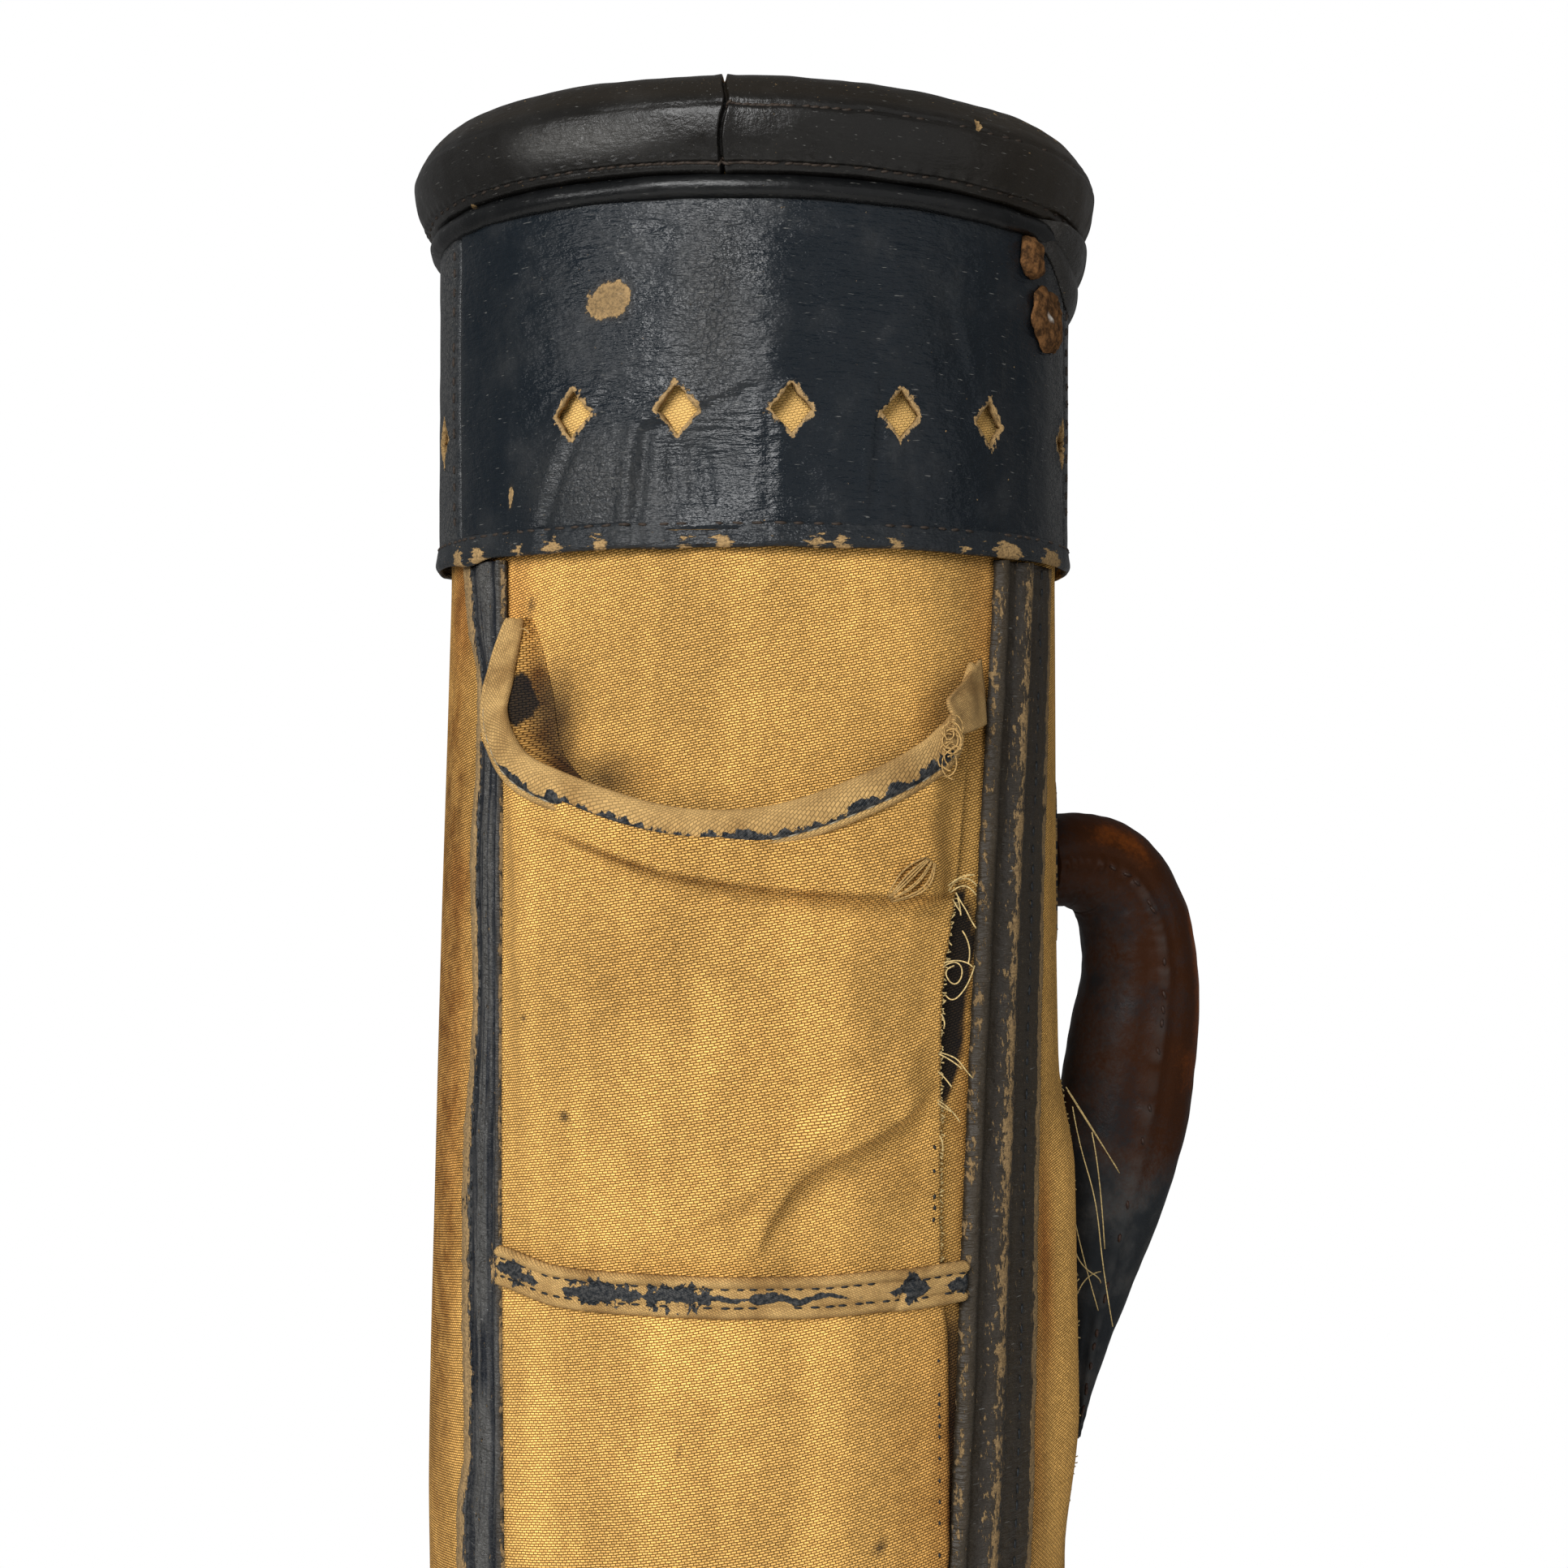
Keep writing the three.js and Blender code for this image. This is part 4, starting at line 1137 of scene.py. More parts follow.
def bound_canvas(name, colours):
    """Fine cotton tape over a leather core: khaki threads, with navy leather showing in ragged flakes.

    The flakes rise from a painted line by a painted reach, so they end in a jagged edge.
    """
    cloth = getattr(colours, TAPES[name])
    finish, node = new_finish(name)
    flat = node("UVMap")
    above, reach, soil = (
        node("Attribute", attribute_name=paint) for paint in ("above", "skin", "soil")
    )
    # Threads 0.8 mm long, drawn coarser than the real tape so that they show
    threads = {
        "Vector": node("Mapping", {"Vector": flat, "Rotation": (0, 0, math.radians(28))}),
        "Scale": 1.0,
        "Color1": rgba(cloth, 1.15),
        "Color2": rgba(cloth, 0.88),
        "Mortar": rgba(cloth, 0.55),
        "Mortar Size": 0.09,
        "Mortar Smooth": 0.9,
        "Brick Width": 0.8,
        "Row Height": 0.42,
    }
    weave = node("TexBrick", threads, offset=0.5)
    fine = node("TexNoise", (flat, 0, 1 / 0.8, 4.0, 0.7))
    blotch = node("TexNoise", (flat, 0, 1 / 9, 5.0))
    dirty = node("MapRange", (blotch, 0.35, 0.75, 0.0, 0.6))
    tone = weave
    for share in (dirty, soil):
        tone = node("Mix", {SHARE: share, UNDER: tone, OVER: rgba(colours.dirt)}, **STAINED)
    drawn = node("Mapping", {"Vector": flat, "Scale": (1 / 4.2, 1 / 6, 1)})
    jag = node("TexNoise", (drawn, 0, 1.0, 5.0, 0.62))
    jag = node("MapRange", (jag, 0.34, 0.62, 0.25, 1.3))
    reach = node("Math", (jag, reach), **TIMES)
    skin = node("Math", (reach, above), **LESS)
    skin = node("MapRange", (skin, 0.0, 0.16))
    over_line = node("MapRange", (above, -0.14, 0.02))
    skin = node("Math", (skin, over_line), **TIMES)
    rubbed = node("MapRange", (fine, 0.35, 0.75))
    navy = {SHARE: rubbed, UNDER: rgba(colours.leather), OVER: rgba(colours.leather_bloom)}
    navy = node("Mix", navy)
    tone = node("Mix", {SHARE: skin, UNDER: tone, OVER: navy})
    height = node("Math", (weave.node.outputs["Fac"], -1.0, fine), **TIMES_PLUS)
    height = node("Math", (skin, 0.8, height), **TIMES_PLUS)
    dullness = node("MapRange", (skin, 0, 1, 0.9, 0.5))
    close_finish(node, tone, dullness, 0.2, height, 0.6, 0.25)
    return finish


def finish_named(name):
    """A finish of the bag by name, made when it is first asked for."""
    made = bpy.data.materials.get(name)
    if made:
        return made
    makers = {
        "twill_canvas": woven_canvas,
        "harness_leather": handle_leather,
        "raw_hide_edge": raw_fibre,
        "crusted_steel": rusted_steel,
        **dict.fromkeys(COWHIDES, worn_cowhide),
        **dict.fromkeys(THREADS, sewing_thread),
        **dict.fromkeys(TAPES, bound_canvas),
    }
    return makers[name](name, bpy.context.scene.bag_colours)


# Properties a user would change


def colour_property(name, description, code):
    return bpy.props.FloatVectorProperty(
        name=name, description=description, default=linear(code), size=3, min=0, max=1, subtype="COLOR"
    )


def length_property(name, description, default):
    return bpy.props.FloatProperty(
        name=name, description=description, default=default * MM, min=0, precision=5, unit="LENGTH"
    )


class BagSizes(bpy.types.PropertyGroup):
    """Sizes of the bag's cloth, leather and sewing."""

    canvas_wall: length_property("Canvas wall", "Thickness of the stiffened body cloth", CANVAS_THICK)
    pocket_wall: length_property("Pocket cloth", "Thickness of the pocket's cloth", POCKET_THICK)
    leather_wall: length_property("Leather", "Thickness of the collar's hide", LEATHER_THICK)
    thread_long: length_property("Thread length", "Length of one visible thread of the weave", 1.15)
    pocket_slack: length_property("Pocket slack", "How far the pocket stands off half way up", POCKET_BELLY)
    stitch_pitch: length_property("Stitch pitch", "Distance from stitch to stitch in leather", 4.2)
    loose_thread: length_property("Loose thread", "Thickness of a frayed thread", 0.32)
    floor_radius: length_property("Floor radius", "Radius of the pale floor", 1150)


class BagColours(bpy.types.PropertyGroup):
    """Colours of the bag's cloth, leather, thread and metal."""

    canvas: colour_property("Canvas", "Faded ochre thread", "#e2b062")
    canvas_gap: colour_property("Canvas gaps", "Shade between threads", "#7c5621")
    rust_tint: colour_property("Rust tint", "Orange stain of the canvas", "#e09a5c")
    fresh_canvas: colour_property("Unfaded canvas", "Cloth that the collar has covered", "#e8bb70")
    # Grey brown of dirt, also laid as painted shade on the canvas
    dirt: colour_property("Dirt", "Grey brown soil", "#8a7048")
    tape: colour_property("Binding tape", "Khaki tape of the pocket", "#b8955e")
    tab: colour_property("Mouth tab", "Bleached canvas tab", "#b3915c")
    leather: colour_property("Leather", "Navy black dye", "#0b1218")
    rim_leather: colour_property("Rim leather", "Black dye of the rim", "#0a0b0c")
    strip_leather: colour_property("Strip leather", "Blue black dye of the strips", "#0d1118")
    # Grey of rubbed leather, also laid as painted sheen and highlights
    leather_bloom: colour_property("Rubbed leather", "Greyed navy of rubbed leather", "#4c4b49")
    scratch: colour_property("Scratches", "Pale scratches of the leather", "#777672")
    brown_dye: colour_property("Browned leather", "Navy leather gone brown", "#2d2416")
    brown_leather: colour_property("Handle leather", "Brown of the handle", "#2f1707")
    rubbed_leather: colour_property("Rubbed handle", "Rust brown of the rubbed handle", "#733a0f")
    fibre: colour_property("Hide fibre", "Tan fibre under the finish", "#a08256")
    thread: colour_property("Loose thread", "Straw coloured linen", "#cdb47c")
    seam_thread: colour_property("Seam thread", "Grey thread of the pocket's mouth", "#9a917c")
    stitch: colour_property("Stitches", "Brown waxed thread", "#362c24")
    rust: colour_property("Rust", "Rusted steel", "#6e4c2c")
    # Bare steel of the rust's nick, also its painted glint
    bare_steel: colour_property("Bare steel", "Bright nick in the rust", "#e4ded4")
    floor: colour_property("Floor", "Pale studio floor", "#f4f3f0")


# Canvas walls


def stain_paint(column):
    return lambda x, y, flat: clamp(spot_sum(STAINS, column, azimuth_of(flat), flat[1]))


def speck(flat):
    """Small dark specks of dirt, 1 at their middle."""
    total = 0.0
    for row in SPECKS:
        away = math.hypot(flat[0] - row["azimuth"] * MM_PER_DEGREE, flat[1] - row["z"])
        total = max(total, hump(away / (2 * row["half"])))
    return 0.85 * total


def tear_dark(azimuth, z):
    """Painted navy dark beside the torn pocket, for the lining seen through the tear and the shade inside it,
    and painted shade beside the panel below it.
    """
    ragged = 0.6 * rough(z / 3.5, 4, 0)
    edge = look(TEAR_EDGE, z, "azimuth") + ragged
    high = ease(z, TEAR["foot"] - 1, TEAR["foot"] + 1.5) * (1 - ease(z, TEAR["top"] + 1, TEAR["top"] + 4))
    torn = 0.96 * high * (1 - ease(azimuth, edge - 0.5, edge + 0.3)) * ease(azimuth, 27, 29)
    low = 0.8 * (1 - ease(z, 590, 600)) * ease(azimuth, 33.4, 34.8)
    return max(torn, low)


def mouth_shade(azimuth, z):
    """Cloth inside the mouth, darkened by painted shade."""
    return 0.8 * clamp(spot_sum(MOUTH_SHADES, "amount", azimuth, z))


# Dark paint of the front panel: specks of dirt, and painted shade at the tear and inside the mouth
def front_dark(x, y, flat):
    azimuth = azimuth_of(flat)
    return max(speck(flat), tear_dark(azimuth, flat[1]), mouth_shade(azimuth, flat[1]))


def fresh_cloth(x, y, flat):
    return ease(flat[1], COLLAR_FOOT + 4, COLLAR_FOOT + 12)


CANVAS_PAINTS = {
    "tint": stain_paint("tint"),
    "soil": stain_paint("soil"),
    "dark": lambda x, y, flat: speck(flat),
    "fresh": fresh_cloth,
}


def canvas_front(across, up):
    z = mix(WALL_FOOT, WALL_TOP, up)
    left = look(BODY, z, "left") + SEAM_GAP
    right = look(BODY, z, "right") - SEAM_GAP
    azimuth = mix(left, right, across)
    return on_shell(azimuth, body_radius(z) + 0.22 * waves(azimuth, z, 11, 70), z)


def side_bulge(azimuth, z):
    across = hump(azimuth, SIDE_BULGE["azimuth"], SIDE_BULGE["half"])
    return SIDE_BULGE["height"] * across * ease(z, *SIDE_BULGE["foot"]) * (1 - ease(z, *SIDE_BULGE["top"]))


def canvas_back(across, up):
    z = mix(WALL_FOOT, WALL_TOP, up)
    left = look(BODY, z, "right") + SEAM_GAP
    right = look(BODY, z, "left") + 360 - SEAM_GAP
    azimuth = mix(left, right, across)
    ripple = 0.25 * waves(azimuth, z, 14, 80, 3)
    return on_shell(azimuth, body_radius(z) + side_bulge(azimuth, z) + ripple, z)


class BAG_OT_canvas_walls(bpy.types.Operator):
    """Make the canvas tube: a front panel and a panel round the sides and back"""

    bl_idname = "bag.canvas_walls"
    bl_label = "Canvas walls"

    def execute(self, context):
        wall = context.scene.bag_sizes.canvas_wall / MM
        head, foot = BODY[-1], BODY[0]
        widest = max(row["radius"] for row in BODY)
        panels = (
            ("front", canvas_front, {"dark": front_dark}, head["right"] - head["left"], head["radius"]),
            ("back", canvas_back, {}, 360 + foot["left"] - foot["right"], widest),
        )
        for side, place, paints, arc, radius in panels:
            name = "canvas_" + side
            bm = bent_sheet(name, place, {**CANVAS_PAINTS, **paints})
            piece = finish_piece(name, bm, ["twill_canvas"], [side + "_panel"], wall)
            wide = math.radians(arc) * radius * MM
            tall = (WALL_TOP - WALL_FOOT) * MM
            area = min(flat_area(place), wide * tall)
        return {"FINISHED"}


def hide_paints(wear, bloom=0.1, brown=0.0):
    """What shows on a hide: places worn to fibre, grey rubs with painted sheen and highlights, and brown dye.
    """
    return {"wear": wear, "bloom": bloom, "brown": brown}


# Leather strips over the long seams


def strip_place(side):
    width = STRIP_WIDTH[side]

    def place(across, up):
        z = mix(STRIP_FOOT, STRIP_TOP, up)
        radius = body_radius(z)
        edge = abs(2 * across - 1)
        ragged = rough(z / 1.9, round(across) * 30, 9) * ease(edge, 0.8, 1)
        ragged *= STRIP_GNAWED[side][round(across)]
        wander = 0.35 * rough(z / 40, 2, 5)
        covered = look(STRIP_COVERED, z, "share") if side == "left" else 0.0
        off = (mix(covered, 1, across) - 0.5) * width + ragged + wander
        azimuth = look(BODY, z, side) + math.degrees(off / radius)
        thick = STRIP_THICK - 0.9 * ease(edge, 0.93, 1)
        for row in STRIP_RIDGES[side]:
            thick += row["height"] * hump(across, row["across"], row["half"])
        thick += 0.2 * rough(across * 12, z / 6, 1)
        thick += 0.16 * rough(across * 30, z / 1.8, 6)
        return on_shell(azimuth, radius + GAP + thick, z)

    return place


def strip_paints(side):
    """What shows on a strip: places worn to fibre, brown dye, and grey rubs with painted highlights along its
    crests.
    """

    def wear(across, up, flat):
        amount = STRIP_DULL[side]
        for row in STRIP_RUBS[side]:
            along = 0.5 + rough(row["across"] * 40, flat[1] / row["run"], 2)
            near = hump(across, row["across"], row["half"])
            amount = max(amount, near * row["amount"] * mix(0.5, 1.15, clamp(along)))
        if side == "left":
            torn = hump(flat[1], 604, 9) * hump(across, 0.85, 0.16)
            bare = hump(flat[1], 577, 17) * (1 - ease(across, 0.16, 0.4))
            amount = max(amount, 0.8 * torn, 1.1 * bare)
        return amount

    def brown(across, up, flat):
        return max(hump(across, row["across"], row["half"]) for row in STRIP_BROWN[side])

    # Grey rubs and painted highlights along the crests
    def bloom(across, up, flat):
        rubs = (row["amount"] * hump(across, row["across"], row["half"]) for row in STRIP_CREST_RUBS_AND_HIGHLIGHTS[side])
        return max(rubs) * clamp(0.55 + 1.5 * rough(across * 16, flat[1] / 22, 7))

    return hide_paints(wear, bloom, brown)


class BAG_OT_seam_strips(bpy.types.Operator):
    """Make the ridged leather strips over the two long seams"""

    bl_idname = "bag.seam_strips"
    bl_label = "Seam strips"

    def execute(self, context):
        stitches = bmesh.new()
        for side, groove in STRIP_GROOVE.items():
            place = strip_place(side)
            bm = bent_sheet("strip", place, strip_paints(side))
            name = "seam_strip_" + side
            finish_piece(name, bm, ["strip_cowhide"], ["strip_" + side], STRIP_THICK)
            stitch_row(stitches, line_on(place, across=groove), side, "strip")
        finish_piece("strip_stitches", stitches, ["black_thread"])
        return {"FINISHED"}


# Collar


def crease_depth(azimuth, z):
    depth = 0.0
    x, y = azimuth * MM_PER_DEGREE, z
    for row in CREASES:
        start = Vector((row["from_azimuth"] * MM_PER_DEGREE, row["from_z"]))
        run = Vector((row["to_azimuth"] * MM_PER_DEGREE, row["to_z"])) - start
        spot = Vector((x, y)) - start
        share = clamp(spot.dot(run) / run.length_squared)
        away = spot - run * share
        side = run.x * away.y - run.y * away.x
        far = away.length / row["half"]
        if far < 3:
            fade = math.sin(math.pi * mix(0.12, 0.88, share))
            lip = 0.6 * hump(far, 1.3, 1.6) if side > 0 else 0.0
            depth += row["depth"] * fade * (hump(far) - lip)
    return depth


def collar_radius(azimuth, z):
    turned = wrapped(azimuth)
    depth = spot_sum(DENTS, "depth", turned, z) + crease_depth(turned, z)
    depth += 0.3 * waves(azimuth, z, 16, 26, 11) + 0.12 * waves(azimuth, z, 4, 6, 21)
    return COLLAR_RADIUS - depth


def hole_near(azimuth, z):
    """How near a spot is to a diamond hole: 1 on its edge, more outside it."""
    best = 9.0
    for hole in HOLES:
        away = wrapped(azimuth - hole) * MM_PER_DEGREE
        best = min(best, abs(away) / HOLE["half_wide"] + abs(z - HOLE["z"]) / HOLE["half_tall"])
    return best


def collar_wear(x, y, flat):
    azimuth = azimuth_of(flat)
    near = hole_near(azimuth, flat[1])
    amount = 0.02 + 0.8 * (1 - ease(near, 1.0, 1.5))
    return max(amount, spot_sum(SCUFFS, "amount", azimuth, flat[1]))


def collar_brown(x, y, flat):
    """The rubbed places of the collar are darker than those of its foot."""
    return 0.75 * clamp(spot_sum(SCUFFS, "amount", azimuth_of(flat), flat[1]))


# Grey of rubs and painted sheen, and greyer towards the sides
def collar_bloom(x, y, flat):
    azimuth = wrapped(azimuth_of(flat))
    side = 0.55 * ease(abs(azimuth), 60, 66)
    return clamp(spot_sum(COLLAR_RUBS_AND_SHEEN, "amount", azimuth, flat[1]) + side)


def collar_cut(left, right, foot):
    """The collar's flat hide, in millimetres, with its diamond holes cut out."""
    wide = (right - left) * MM_PER_DEGREE
    bm = grid(round(wide / COLLAR_STEP), COLLAR_ROWS)
    bmesh.ops.scale(bm, verts=bm.verts, vec=(wide, COLLAR_TOP + COLLAR_TUCK - foot, 1))
    bmesh.ops.translate(bm, verts=bm.verts, vec=(left * MM_PER_DEGREE, foot, 0))
    half_wide, half_tall = HOLE["half_wide"], HOLE["half_tall"]
    for hole in HOLES:
        turned = hole + 360 if hole < left else hole
        if not left < turned < right:
            continue
        middle = Vector((turned * MM_PER_DEGREE, HOLE["z"], 0))
        for way_x, way_y in ((1, 1), (1, -1), (-1, 1), (-1, -1)):
            reach = Vector((half_wide + HOLE_MARGIN, half_tall + HOLE_MARGIN))
            near = [
                face
                for face in bm.faces
                if abs(face.calc_center_median().x - middle.x) < reach.x
                and abs(face.calc_center_median().y - middle.y) < reach.y
            ]
            parts = set(near)
            for face in near:
                parts.update(face.edges)
                parts.update(face.verts)
            bmesh.ops.bisect_plane(
                bm,
                geom=list(parts),
                dist=1e-4,
                plane_co=middle + Vector((way_x * half_wide, 0, 0)),
                plane_no=Vector((way_x / half_wide, way_y / half_tall, 0)).normalized(),
            )
        inside = []
        for face in bm.faces:
            spot = face.calc_center_median() - middle
            if abs(spot.x) / half_wide + abs(spot.y) / half_tall < 1:
                inside.append(face)
        bmesh.ops.delete(bm, geom=inside, context="FACES")
    edges = [vert for vert in bm.verts if hole_near(vert.co.x / MM_PER_DEGREE, vert.co.y) < 1.2]
    bmesh.ops.remove_doubles(bm, verts=edges, dist=HOLE_WELD)
    for vert in bm.verts:
        if abs(hole_near(vert.co.x / MM_PER_DEGREE, vert.co.y) - 1) < 0.06:
            vert.co.x += 0.5 * noise.noise(vert.co * 0.8)
            vert.co.y += 0.5 * noise.noise(vert.co * 0.8 + Vector((9, 0, 0)))
    return bm


def collar_place(x, y):
    azimuth = x / MM_PER_DEGREE
    near = hole_near(azimuth, y)
    lip = 0.3 * hump(near, 1.15, 0.35)
    seams = (wrapped(azimuth - seam) for seam in (COLLAR_LEFT, COLLAR_RIGHT))
    groove = max(hump(away / 1.3) for away in seams)
    return on_shell(azimuth, collar_radius(azimuth, y) + lip - 0.7 * groove, y)


def hem_place(across, up):
    azimuth = mix(-180, 180, across)
    radius = look(HEM_OUTLINE, up, "radius") - COLLAR_RADIUS
    z = look(HEM_OUTLINE, up, "z")
    held = collar_radius(azimuth, COLLAR_FOOT + 8)
    lumps = 0.3 * waves(azimuth, z, 5, 9, 31) + 0.5 * waves(azimuth, 0, 14, 9, 41)
    lumps += 0.9 * hump(azimuth, -57, 7)
    drop = 0.7 * waves(azimuth, 3, 9, 9, 51) - 1.2 * hump(azimuth, -57, 8)
    return on_shell(azimuth, held + radius + lumps * ease(up, 0, 0.4), z + drop * (1 - up))


def hem_wear(across, up, flat):
    azimuth = azimuth_of(flat)
    amount = 0.16
    for row in HEM_PATCHES:
        away = wrapped(azimuth - row["azimuth"])
        amount = max(amount, row["amount"] * hump(away / row["half"]))
    return amount * (1 - ease(up, 0.4, 0.95))


class BAG_OT_collar(bpy.types.Operator):
    """Make the leather collar with its diamond holes, its turned foot and its stitches"""

    bl_idname = "bag.collar"
    bl_label = "Collar"

    def execute(self, context):
        wall = context.scene.bag_sizes.leather_wall / MM * COLLAR_SKIVED
        paints = hide_paints(collar_wear, collar_bloom, collar_brown)
        finishes = ["navy_cowhide", "raw_hide_edge"]
        spans = {"front": (COLLAR_LEFT, COLLAR_RIGHT), "back": (COLLAR_RIGHT, COLLAR_LEFT + 360)}
        for side, (left, right) in spans.items():
            bm = collar_cut(left, right, COLLAR_FOOT + HEM_HEIGHT - HEM_LAP)
            settle(bm, collar_place, paints)
            node = "collar_" + side
            finish_piece("hide_" + node, bm, finishes, [node], wall, 1)
        bm = ring("hem", hem_place, hide_paints(hem_wear))
        finish_piece("collar_turned_hem", bm, ["hem_cowhide"], ["collar_hem"], HEM_THICK)
        bm = bmesh.new()
        stitch_row(bm, line_on(hem_place, up=HEM_SEAM), "hem", "hem")
        for azimuth in (COLLAR_LEFT - SEAM_BESIDE, COLLAR_RIGHT + SEAM_BESIDE):

            def seam(share, azimuth=azimuth):
                z = mix(COLLAR_FOOT + HEM_HEIGHT + 2, COLLAR_TOP - 2, share)
                return polar(azimuth, collar_radius(azimuth, z) + 0.1, z), outward(azimuth)

            stitch_row(bm, seam, str(azimuth), "collar")
        finish_piece("collar_stitches", bm, ["brown_thread"])
        return {"FINISHED"}


# Rim


def rim_azimuth(share):
    """Azimuth round the ring; its steps are closest beside the crack."""
    turn = full_turn(share)
    return RIM_CRACK + math.degrees(turn - RIM_CROWDED * math.sin(turn))


def rim_turned(azimuth):
    return wrapped(azimuth - RIM_CRACK)


def rim_seam_share(azimuth):
    """Where the upper seam runs round the roll's section."""
    ragged = 0.005 * waves(azimuth, 0, 2.5, 9, 73) * ease(rim_turned(azimuth), -2, 2)
    return RIM_SEAM_SHARE + 0.012 * waves(azimuth, 0, 10, 9, 71) + ragged


def rim_place(round_it, along):
    azimuth = rim_azimuth(along)
    radius = look(RIM_OUTLINE, round_it, "radius")
    z = look(RIM_OUTLINE, round_it, "z")
    away = rim_turned(azimuth)
    wander = look(CRACK_LINE, z, "away") + 0.2 * rough(z / 1.5, 5, 2)
    outside = ease(radius, 66, 72)
    crack = hump(away, wander, 0.5) * outside
    lips = hump(away, wander, 2.2) * outside
    right = ease(away, -2, 2)
    seam_at = round_it - rim_seam_share(azimuth)
    puckers = 0.5 + 0.5 * math.sin(azimuth * MM_PER_DEGREE * 2 * math.pi / RIM_PUCKER)
    seam = hump(seam_at / 0.014) * mix(0.35, 1.0, right)
    fold = hump(seam_at, 0.03, 0.03) * mix(0.3, 0.8, right)
    foot_at = round_it - RIM_FOOT_SHARE
    foot = hump(foot_at / 0.022)
    foot_pucker = hump(foot_at, 0.026, 0.024) * puckers
    swell = 0.4 * waves(azimuth, z, 13, 14, 81) + 0.16 * waves(azimuth, z, 4, 6, 91)
    nick = 1.2 * hump(azimuth, RIM_NICK, 0.8) * hump(round_it, 0.4, 0.04)
    push = swell - 1.7 * crack + 0.3 * lips - 0.55 * seam + 0.3 * fold - 0.6 * foot + 0.4 * foot_pucker - nick
    middle_r, middle_z = RIM_LINE, RIM_MIDDLE + 3
    share = 1 + push / math.hypot(radius - middle_r, z - middle_z)
    radius = middle_r + (radius - middle_r) * share
    z = middle_z + (z - middle_z) * share
    return polar(azimuth, radius, z), (along * 360 * MM_PER_DEGREE, round_it * RIM_GIRTH)


def rim_wear(round_it, along, flat):
    azimuth = rim_azimuth(along)
    right = 0.2 * ease(azimuth, 20, 70) * (1 - ease(azimuth, 100, 140))
    top = hump(round_it, 0.49, 0.08) * (0.14 + right)
    amount = max(0.03, top)
    for row in RIM_MARKS:
        across = hump(wrapped(azimuth - row["azimuth"]) / row["half_wide"])
        amount = max(amount, row["amount"] * across * hump(round_it, row["share"], row["half_tall"]))
    return amount


# A painted highlight low on the left of the roll's outer face, over a faint even grey
def rim_bloom(round_it, along, flat):
    azimuth = rim_azimuth(along)
    return 0.03 + 0.85 * hump(azimuth, -26, 18) * hump(round_it, 0.27, 0.1)


def rim_brown(round_it, along, flat):
    azimuth = rim_azimuth(along)
    right = ease(azimuth, 20, 75) * (1 - ease(azimuth, 130, 160))
    return 0.1 + 0.5 * right + 0.2 * ease(round_it, 0.38, 0.44)


def piping_place(round_it, along):
    turn = full_turn(round_it)
    azimuth = mix(-180, 180, along)
    size = PIPING_RADIUS * 1.3 * (1 + 0.08 * waves(azimuth, 0, 6, 9, 101))
    radius = PIPING_LINE + 0.5 + size * math.cos(turn)
    z = PIPING_MIDDLE - 0.4 + 0.2 * waves(azimuth, 0, 12, 9, 111) + size * math.sin(turn)
    return polar(azimuth, radius, z), (azimuth * MM_PER_DEGREE, turn * PIPING_RADIUS)


class BAG_OT_rim(bpy.types.Operator):
    """Make the padded leather roll round the mouth, cracked at the front, with its piping and stitches"""

    bl_idname = "bag.rim"
    bl_label = "Padded rim"

    def execute(self, context):
        bm = tube("rim", rim_place, hide_paints(rim_wear, rim_bloom, rim_brown))
        roll = finish_piece("rim_padded_roll", bm, ["rim_cowhide"], ["rim_roll"])
        bm = tube("piping", piping_place, hide_paints(0.0, 0.0))
        finish_piece("rim_round_piping", bm, ["rim_cowhide"], ["rim_piping"])
        bm = bmesh.new()
        for share, start, sewing in ((RIM_FOOT_SHARE, 0.0, "rim foot"), (None, RIM_SEWN_FROM, "rim seam")):

            def path(part, share=share, start=start):
                along = mix(start, 1.0, part)
                azimuth = rim_azimuth(along)
                return rim_place(share or rim_seam_share(azimuth), along)[0], outward(azimuth)

            stitch_row(bm, path, f"rim {share}", sewing)
        finish_piece("rim_stitches", bm, ["brown_thread"])
        return {"FINISHED"}


# Rusted steel


